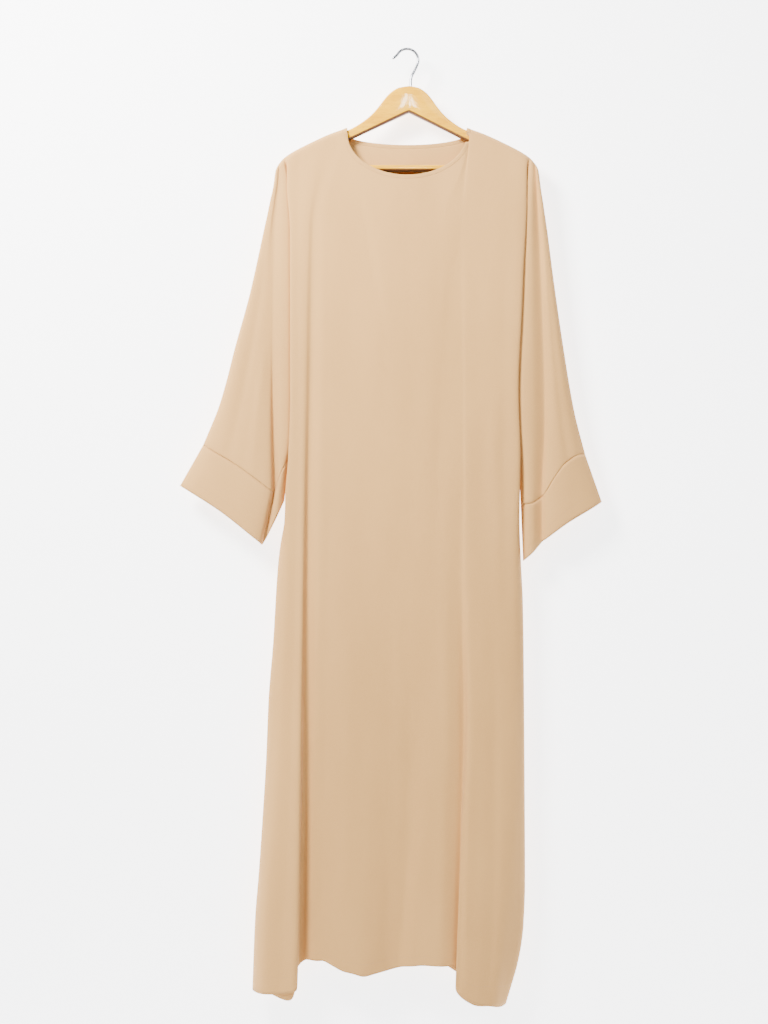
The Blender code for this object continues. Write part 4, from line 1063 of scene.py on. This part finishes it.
class Finish:
    """A material under construction: its nodes, and the Principled shader that they feed."""

    def __init__(self, name, **constants):
        self.material = bpy.data.materials.new(name)
        self.material.use_nodes = True
        self.tree = self.material.node_tree
        self.shader = self.tree.nodes["Principled BSDF"]
        for socket, value in constants.items():
            self.shader.inputs[socket.replace("_", " ")].default_value = value

    def node(self, kind, settings, inputs, output=0):
        """A node of this type: its settings first, then its sockets by name or number. Gives one output."""
        made = self.tree.nodes.new(kind)
        for name, value in settings.items():
            setattr(made, name, value)
        for key, value in inputs.items():
            if isinstance(value, Socket):
                self.tree.links.new(value.link, made.inputs[key])
            else:
                made.inputs[key].default_value = value
        return Socket(self, made.outputs[output])

    def place(self):
        """Where a point is in the object's own metres."""
        return self.node("ShaderNodeTexCoord", {}, {}, "Object")

    def stretched(self, scale):
        """The object's place, stretched along its axes."""
        return self.node("ShaderNodeVectorMath", {"operation": "MULTIPLY"}, {0: self.place(), 1: scale})

    def noise(self, scale, detail=2.0, stretch=(1.0, 1.0, 1.0), roughness=0.5):
        """Noise with about this many spots a metre, and so many finer layers of it."""
        inputs = {"Vector": self.stretched(stretch), "Scale": scale, "Detail": detail, "Roughness": roughness}
        return self.node("ShaderNodeTexNoise", {}, inputs, "Fac")

    def ranged(self, value, low, high, to_low, to_high):
        """A value moved from one range to another and kept inside it."""
        inputs = {0: value, 1: low, 2: high, 3: to_low, 4: to_high}
        return self.node("ShaderNodeMapRange", {"clamp": True}, inputs)

    def mix_colour(self, share, first, second):
        """The first colour at a share of 0, and the second at 1."""
        inputs = {0: share, 6: opaque(first), 7: opaque(second)}
        return self.node("ShaderNodeMix", {"data_type": "RGBA"}, inputs, 2)

    def bump(self, height, strength, distance, normal=None):
        """A surface normal tilted as if the height stood out by this distance in metres."""
        inputs = {"Height": height, "Strength": strength, "Distance": distance}
        if normal is not None:
            inputs["Normal"] = normal
        return self.node("ShaderNodeBump", {}, inputs, "Normal")

    def feed(self, socket, value):
        self.tree.links.new(value.link, self.shader.inputs[socket])


def tinted(colour, tint):
    """A colour with its channels scaled by one factor, or by one each, and kept at 1 or less."""
    factors = tint if isinstance(tint, tuple) else (tint,) * 3
    return tuple(min(channel * factor, 1.0) for channel, factor in zip(colour, factors))


def opaque(colour):
    """A colour with its alpha, or the socket as it is."""
    return colour if isinstance(colour, Socket) else (*tuple(colour)[:3], 1.0)


def crepe(name, settings, shade=1.0):
    """Dry crepe: a pebbled weave of twisted threads, faint vertical slubs and slow changes of tone. A shade
    below 1 makes a darker copy, which is painted shade.
    """
    cloth = Finish(name, Sheen_Weight=settings.sheen, Sheen_Roughness=0.45, Specular_IOR_Level=0.25)
    cloth.shader.inputs["Sheen Tint"].default_value = (1.0, 0.93, 0.84, 1.0)
    pebble = cloth.noise(1150.0, 3.0, (1.0, 1.0, 0.62), 0.6)
    thread = cloth.noise(620.0, 1.0, (2.2, 2.2, 0.35))
    weft = cloth.noise(640.0, 1.0, (0.3, 0.3, 2.4))
    slow = cloth.noise(3.2, 2.0, (1.6, 1.0, 0.7))
    broad = cloth.noise(16.0, 3.0, (1.5, 1.0, 0.5))
    # A shade below 1 gives a darker copy of the same crepe: painted shade
    colour = tinted(settings.colour, shade)
    darker = tinted(colour, (0.86, 0.83, 0.79))
    paler = tinted(colour, 1.07)
    tone = cloth.mix_colour(cloth.ranged(pebble, 0.35, 0.65, 0.0, 0.55), colour, darker)
    tone = cloth.mix_colour(cloth.ranged(slow * 0.7 + broad * 0.3, 0.4, 0.6, 0.0, 0.6), tone, paler)
    cloth.feed("Base Color", tone)
    cloth.feed("Roughness", cloth.ranged(pebble, 0.3, 0.7, 0.78, 0.92))
    weave = pebble * 0.55 + thread * 0.3 + weft * 0.25
    fine = cloth.bump(weave, settings.weave, 0.00035)
    cloth.feed("Normal", cloth.bump(broad, 0.10, 0.004, fine))
    return cloth.material


def sewing_thread(name, settings):
    """Twisted polyester thread in the cloth's colour, a little shinier than the cloth."""
    thread = Finish(name, Sheen_Weight=0.2, Specular_IOR_Level=0.4)
    ply = thread.noise(2400.0, 1.0)
    dark, light = tinted(settings.colour, 0.72), tinted(settings.colour, 0.96)
    thread.feed("Base Color", thread.mix_colour(ply, dark, light))
    thread.feed("Roughness", thread.ranged(ply, 0.3, 0.7, 0.5, 0.65))
    thread.feed("Normal", thread.bump(ply, 0.4, 0.0001))
    return thread.material


def lacquered_wood(name, settings, stretch, shade=1.0):
    """Yellow-brown wood with a long grain under clear lacquer, with painted shade in dark brown where it faces
    down. A shade below 1 makes a darker copy, which is painted shade.
    """
    coat = {"Coat_Weight": 0.9, "Coat_Roughness": settings.lacquer, "Coat_IOR": 1.5}
    wood = Finish(name, Specular_IOR_Level=0.05, **coat)
    wave = wood.noise(9.0, 3.0, stretch, 0.55)
    grain = wood.noise(60.0, 4.0, stretch, 0.65)
    pores = wood.noise(260.0, 2.0, stretch, 0.6)
    # A shade below 1 gives a darker copy of the same wood: painted shade
    bright = tinted(settings.wood, shade)
    deep = tinted(bright, (0.74, 0.60, 0.42))
    brown = tinted(settings.wood, (0.42, 0.30, 0.22))
    tone = wood.mix_colour(wood.ranged(wave * 0.5 + grain * 0.5, 0.36, 0.64, 0.0, 1.0), bright, deep)
    tone = wood.mix_colour(wood.ranged(pores, 0.60, 0.72, 0.0, 0.45), tone, brown)
    facing = wood.node("ShaderNodeNewGeometry", {}, {}, "Normal")
    down = wood.node("ShaderNodeSeparateXYZ", {}, {"Vector": facing}, "Z")
    # Painted shade: faces that point down take the dark brown of the painted underside shade, however the
    # light falls on them
    under = wood.ranged(down + grain * 0.1, -0.32, -0.14, 1.0, 0.0)
    wood.feed("Base Color", wood.mix_colour(under, tone, settings.painted_underside_shade))
    wood.feed("Roughness", wood.ranged(grain, 0.3, 0.7, 0.34, 0.5))
    wood.feed("Normal", wood.bump(grain * 0.5 + pores * 0.5, 0.12, 0.0004))
    return wood.material


def plated_wire(name, settings):
    """Bright plated steel wire with fine drawing lines and a few duller patches."""
    wire = Finish(name, Metallic=1.0, Anisotropic=0.2)
    lines = wire.noise(900.0, 2.0, (3.0, 3.0, 0.3))
    patch = wire.noise(45.0, 3.0)
    dull = tinted(settings.wire, 0.78)
    wire.feed("Base Color", wire.mix_colour(wire.ranged(patch, 0.52, 0.7, 0.0, 0.8), settings.wire, dull))
    wire.feed("Roughness", wire.ranged(patch * 0.7 + lines * 0.3, 0.35, 0.7, 0.09, 0.26))
    wire.feed("Normal", wire.bump(lines, 0.06, 0.0001))
    return wire.material


def painted_ground(name, colour, glow, see_through_back):
    """Matt pale ground with a faint unevenness. A backdrop's rear side can be seen through."""
    ground = Finish(name, Specular_IOR_Level=0.1)
    cloud = ground.noise(1.3, 2.0)
    fine = ground.noise(70.0, 2.0)
    dim = tinted(colour, 0.985)
    ground.feed("Base Color", ground.mix_colour(cloud, colour, dim))
    ground.feed("Roughness", ground.ranged(fine, 0.3, 0.7, 0.85, 0.95))
    ground.shader.inputs["Emission Color"].default_value = (*colour, 1.0)
    ground.shader.inputs["Emission Strength"].default_value = glow
    if see_through_back:
        rear = ground.node("ShaderNodeNewGeometry", {}, {}, "Backfacing")
        clear = ground.node("ShaderNodeBsdfTransparent", {}, {}, "BSDF")
        inputs = {0: rear, 1: Socket(ground, ground.shader.outputs["BSDF"]), 2: clear}
        mixed = ground.node("ShaderNodeMixShader", {}, inputs, "Shader")
        ground.tree.links.new(mixed.link, ground.tree.nodes["Material Output"].inputs["Surface"])
    return ground.material


class AbayaCloth(bpy.types.PropertyGroup):
    colour: bpy.props.FloatVectorProperty(
        name="Cloth colour", description="Colour of the crepe and its thread", size=3, subtype="COLOR",
        default=(0.61, 0.335, 0.11), min=0.0, max=1.0)
    sheen: bpy.props.FloatProperty(
        name="Sheen", description="How much the cloth's loose fibres catch the light", default=0.14,
        min=0.0, max=1.0, subtype="FACTOR")
    weave: bpy.props.FloatProperty(
        name="Weave", description="How strongly the pebbled weave shows", default=0.35, min=0.0, max=1.0,
        subtype="FACTOR")
    creases: bpy.props.FloatProperty(
        name="Creases", description="Depth of the soft creases, as a share of the drawn one", default=1.0,
        min=0.0, max=1.5, subtype="FACTOR")
    thickness: bpy.props.FloatProperty(
        name="Thickness", description="Thickness of the cloth", default=SHELL * MM, min=0.0003, max=0.0014,
        unit="LENGTH", subtype="DISTANCE")


class AbayaHanger(bpy.types.PropertyGroup):
    wood: bpy.props.FloatVectorProperty(
        name="Wood colour", description="Colour of the bright grain", size=3, subtype="COLOR",
        default=(0.90, 0.47, 0.0), min=0.0, max=1.0)
    # The dark brown painted as shade on the wood's downward faces, standing for shade rather than a stain
    painted_underside_shade: bpy.props.FloatVectorProperty(
        name="Underside colour", description="Colour of the dark-stained underside", size=3, subtype="COLOR",
        default=(0.10, 0.035, 0.008), min=0.0, max=1.0)
    lacquer: bpy.props.FloatProperty(
        name="Lacquer roughness", description="Roughness of the clear coat", default=0.09, min=0.0, max=1.0,
        subtype="FACTOR")
    wire: bpy.props.FloatVectorProperty(
        name="Wire colour", description="Colour of the plated wire", size=3, subtype="COLOR",
        default=(0.26, 0.27, 0.29), min=0.0, max=1.0)


class AbayaStage(bpy.types.PropertyGroup):
    wall_gap: bpy.props.FloatProperty(
        name="Backdrop gap", description="Distance of the backdrop behind the hanger's middle", default=0.040,
        min=0.03, unit="LENGTH", subtype="DISTANCE")
    floor_drop: bpy.props.FloatProperty(
        name="Floor depth", description="Distance of the floor below the hook", default=1.78, min=1.65,
        unit="LENGTH", subtype="DISTANCE")
    ground: bpy.props.FloatVectorProperty(
        name="Ground colour", description="Colour of the floor and the backdrop", size=3, subtype="COLOR",
        default=(0.90, 0.905, 0.915), min=0.0, max=1.0)
    glow: bpy.props.FloatProperty(
        name="Backdrop glow", description="Light that the pale backdrop gives off by itself", default=4.2,
        min=0.0)
    key_power: bpy.props.FloatProperty(
        name="Key light", description="Power of the light at the upper left", default=124.0, min=0.0,
        unit="POWER")
    fill_power: bpy.props.FloatProperty(
        name="Fill light", description="Power of the light at the right", default=22.0, min=0.0, unit="POWER")
    world: bpy.props.FloatProperty(
        name="Surroundings", description="Strength of the even light from all sides", default=0.14, min=0.0)


def front_panel():
    return Panel(-1, FRONT_LINES, FRONT_PANEL, NECK_DROP_FRONT, 1.0, FRONT_CREASES)


def back_panel():
    return Panel(1, BACK_LINES, BACK_PANEL, NECK_DROP_BACK, BACK_SLEEVE_DEPTH, BACK_CREASES)


def finished_panel(name, strength):
    """The middle surface of the front or the back with its creases."""
    panel = front_panel() if name == "front" else back_panel()
    points, faces, neck, lower = build_panel(panel)
    return creased(points, panel, WAVE_SEEDS[name], strength), faces, neck, lower


def join_runs(runs):
    """Several meshes of points and faces as one."""
    points, faces = [], []
    for run_points, run_faces in runs:
        faces += [tuple(len(points) + i for i in face) for face in run_faces]
        points += list(run_points)
    return points, faces


class ABAYA_OT_panels(bpy.types.Operator):
    """Makes the front and the back with their sleeves"""

    bl_idname = "abaya.panels"
    bl_label = "Front and back"

    def execute(self, context):
        cloth = context.scene.abaya_cloth
        for name, cut_area in (("front", FRONT_AREA), ("back", BACK_AREA)):
            points, faces, _, _ = finished_panel(name, cloth.creases)
            material = crepe("crepe_" + name, cloth)
            piece = add_shell("cloth_" + name, points, faces, material, cloth.thickness)
            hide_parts(name)
        return {"FINISHED"}


class ABAYA_OT_cuffs(bpy.types.Operator):
    """Makes the two deep cuffs"""

    bl_idname = "abaya.cuffs"
    bl_label = "Cuffs"

    def execute(self, context):
        cloth = context.scene.abaya_cloth
        material = crepe("crepe_cuffs", cloth)
        for hand in ("left", "right"):
            rows = cuff_rows((front_panel(), back_panel()), hand)
            faces = tube_faces(rows.shape[0], rows.shape[1], False, True)
            if hand == "left":
                faces = [face[::-1] for face in faces]
            points = rows.reshape(-1, 3)
            piece = add_shell("cloth_cuff_" + hand, points, faces, material, cloth.thickness)
            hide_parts("cuff_" + hand)
            around = length_around(rows[len(rows) // 2])
        return {"FINISHED"}


class ABAYA_OT_binding(bpy.types.Operator):
    """Makes the folded binding around the neck edge"""

    bl_idname = "abaya.binding"
    bl_label = "Neck binding"

    def execute(self, context):
        cloth = context.scene.abaya_cloth
        parts = [finished_panel(name, cloth.creases) for name in ("front", "back")]
        edge, normals = ring_edge(parts)
        points, faces, _ = binding_mesh(edge, normals)
        # The binding's crepe is a 3% darker copy of the panels': painted shade
        piece = add_piece("cloth_neck_binding", points, faces, crepe("crepe_binding", cloth, 0.97))
        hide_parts("neck_binding")
        around = length_around(edge)
        return {"FINISHED"}


class ABAYA_OT_stitches(bpy.types.Operator):
    """Sews the neck binding and the hems with rows of short stitches"""

    bl_idname = "abaya.stitches"
    bl_label = "Stitches"

    def execute(self, context):
        cloth = context.scene.abaya_cloth
        parts = [finished_panel(name, cloth.creases) for name in ("front", "back")]
        edge, normals = ring_edge(parts)
        line = binding_mesh(edge, normals)[2]
        runs = [thread_run(np.concatenate([line, line[:1]]), *NECK_STITCH)]
        for points, faces, _, lower in parts:
            normal = normals_of(points, faces)
            row = lower[-1 - HEM_STITCH_ROW]
            runs.append(thread_run(points[row] + normal[row] * cloth.thickness / MM / 2, *HEM_STITCH))
        for hand in ("left", "right"):
            rows = cuff_rows((front_panel(), back_panel()), hand)
            row = rows[-1 - CUFF_STITCH_ROW]
            centre = row.mean(axis=0)
            out = (row - centre) * np.array((0.0, 1.0, 0.0))
            out /= np.maximum(np.linalg.norm(out, axis=1), 0.5)[:, None]
            loop = row + out * cloth.thickness / MM / 2
            runs.append(thread_run(np.concatenate([loop, loop[:1]]), *HEM_STITCH))
        points, faces = join_runs(runs)
        piece = add_piece("stitches", points, faces, sewing_thread("sewing_thread", cloth))
        return {"FINISHED"}


class ABAYA_OT_hanger(bpy.types.Operator):
    """Makes the wooden hanger, its bar and its wire hook"""

    bl_idname = "abaya.hanger"
    bl_label = "Hanger"

    def execute(self, context):
        hanger = context.scene.abaya_hanger
        points, faces = wood_mesh()
        body = add_piece("hanger_body", points, faces, lacquered_wood("hanger_lacquer", hanger, ARM_GRAIN))
        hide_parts("hanger_wood")
        places = np.linspace(-BAR_HALF_LENGTH, BAR_HALF_LENGTH, BAR_PLACES)
        path = [(x, 0.0, BAR_HEIGHT) for x in places]
        points, faces = swept_tube(path, BAR_RADIUS, BAR_SIDES)
        # The bar's wood is a 5% darker copy of the arms': painted shade
        bar = add_piece("trouser_bar", points, faces, lacquered_wood("bar_lacquer", hanger, BAR_GRAIN, 0.95))
        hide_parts("hanger_bar")
        path = hook_path()
        radii = np.full(len(path), WIRE_RADIUS)
        radii[: len(WIRE_TIP)] = [WIRE_RADIUS * share for share in WIRE_TIP]
        points, faces = swept_tube(path, radii, WIRE_SIDES)
        wire = add_piece("wire_hook", points, faces, plated_wire("plated_wire", hanger))
        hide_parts("hanger_hook")
        return {"FINISHED"}


def add_plane(name, corners, material):
    mesh = bpy.data.meshes.new(name)
    mesh.from_pydata(corners, [], [(0, 1, 2, 3)])
    mesh.materials.append(material)
    plane = bpy.data.objects.new(name, mesh)
    bpy.context.scene.collection.objects.link(plane)
    return plane


def add_light(name, place, target, size, power, colour):
    data = bpy.data.lights.new(name, "AREA")
    data.shape = "RECTANGLE"
    data.size, data.size_y = size
    data.energy = power
    data.color = colour
    light = bpy.data.objects.new(name, data)
    light.location = place
    way = Vector(target) - Vector(place)
    light.rotation_euler = way.to_track_quat("-Z", "Y").to_euler()
    bpy.context.scene.collection.objects.link(light)


class ABAYA_OT_stage(bpy.types.Operator):
    """Sets up the camera, floor, backdrop and soft studio lights"""

    bl_idname = "abaya.stage"
    bl_label = "Stage"

    def execute(self, context):
        stage = context.scene.abaya_stage
        reach = STAGE_REACH
        floor = -stage.floor_drop
        corners = [(-reach, -reach, floor), (reach, -reach, floor)]
        corners += [(reach, reach, floor), (-reach, reach, floor)]
        shade = tinted(stage.ground, FLOOR_SHADE)
        add_plane("floor", corners, painted_ground("floor_paint", shade, 0.0, False))
        y = stage.wall_gap
        corners = [(-reach, y, floor), (reach, y, floor), (reach, y, reach), (-reach, y, reach)]
        paint = painted_ground("backdrop_paint", stage.ground, stage.glow, True)
        wall = add_plane("backdrop", corners, paint)
        wall.visible_shadow = False
        for name, place, target, size, share, colour in LIGHTS:
            power = stage.key_power if name == "key_light" else stage.fill_power
            add_light(name, place, target, size, power * share, colour)
        world = bpy.data.worlds.new("studio")
        world.use_nodes = True
        background = world.node_tree.nodes["Background"]
        background.inputs["Color"].default_value = opaque(WORLD_COLOUR)
        background.inputs["Strength"].default_value = stage.world
        context.scene.world = world
        data = bpy.data.cameras.new("camera")
        data.lens = CAMERA_LENS
        data.sensor_width = CAMERA_SENSOR
        camera = bpy.data.objects.new("camera", data)
        camera.location = CAMERA_PLACE
        camera.rotation_euler = (math.radians(90.0), 0.0, 0.0)
        context.scene.collection.objects.link(camera)
        context.scene.camera = camera
        return {"FINISHED"}


class ABAYA_PT_panel(bpy.types.Panel):
    bl_label = "Hanging abaya"
    bl_idname = "ABAYA_PT_panel"
    bl_space_type = "VIEW_3D"
    bl_region_type = "UI"
    bl_category = "Abaya"

    def draw(self, context):
        for group in (context.scene.abaya_cloth, context.scene.abaya_hanger, context.scene.abaya_stage):
            box = self.layout.box()
            for name in group.bl_rna.properties.keys():
                if name not in ("rna_type", "name"):
                    box.prop(group, name)
        for operator in OPERATORS:
            self.layout.operator(operator.bl_idname)


OPERATORS = (
    ABAYA_OT_stage,
    ABAYA_OT_panels,
    ABAYA_OT_cuffs,
    ABAYA_OT_binding,
    ABAYA_OT_stitches,
    ABAYA_OT_hanger,
)
GROUPS = {"abaya_cloth": AbayaCloth, "abaya_hanger": AbayaHanger, "abaya_stage": AbayaStage}


def register():
    for kind in (*GROUPS.values(), *OPERATORS, ABAYA_PT_panel):
        bpy.utils.register_class(kind)
    for name, group in GROUPS.items():
        setattr(bpy.types.Scene, name, bpy.props.PointerProperty(type=group))


def unregister():
    for name in GROUPS:
        delattr(bpy.types.Scene, name)
    for kind in (ABAYA_PT_panel, *reversed(OPERATORS), *reversed(list(GROUPS.values()))):
        bpy.utils.unregister_class(kind)


def main():
    register()
    bpy.ops.abaya.stage()
    bpy.ops.abaya.panels()
    bpy.ops.abaya.cuffs()
    bpy.ops.abaya.binding()
    bpy.ops.abaya.stitches()
    bpy.ops.abaya.hanger()


if __name__ == "__main__":
    main()
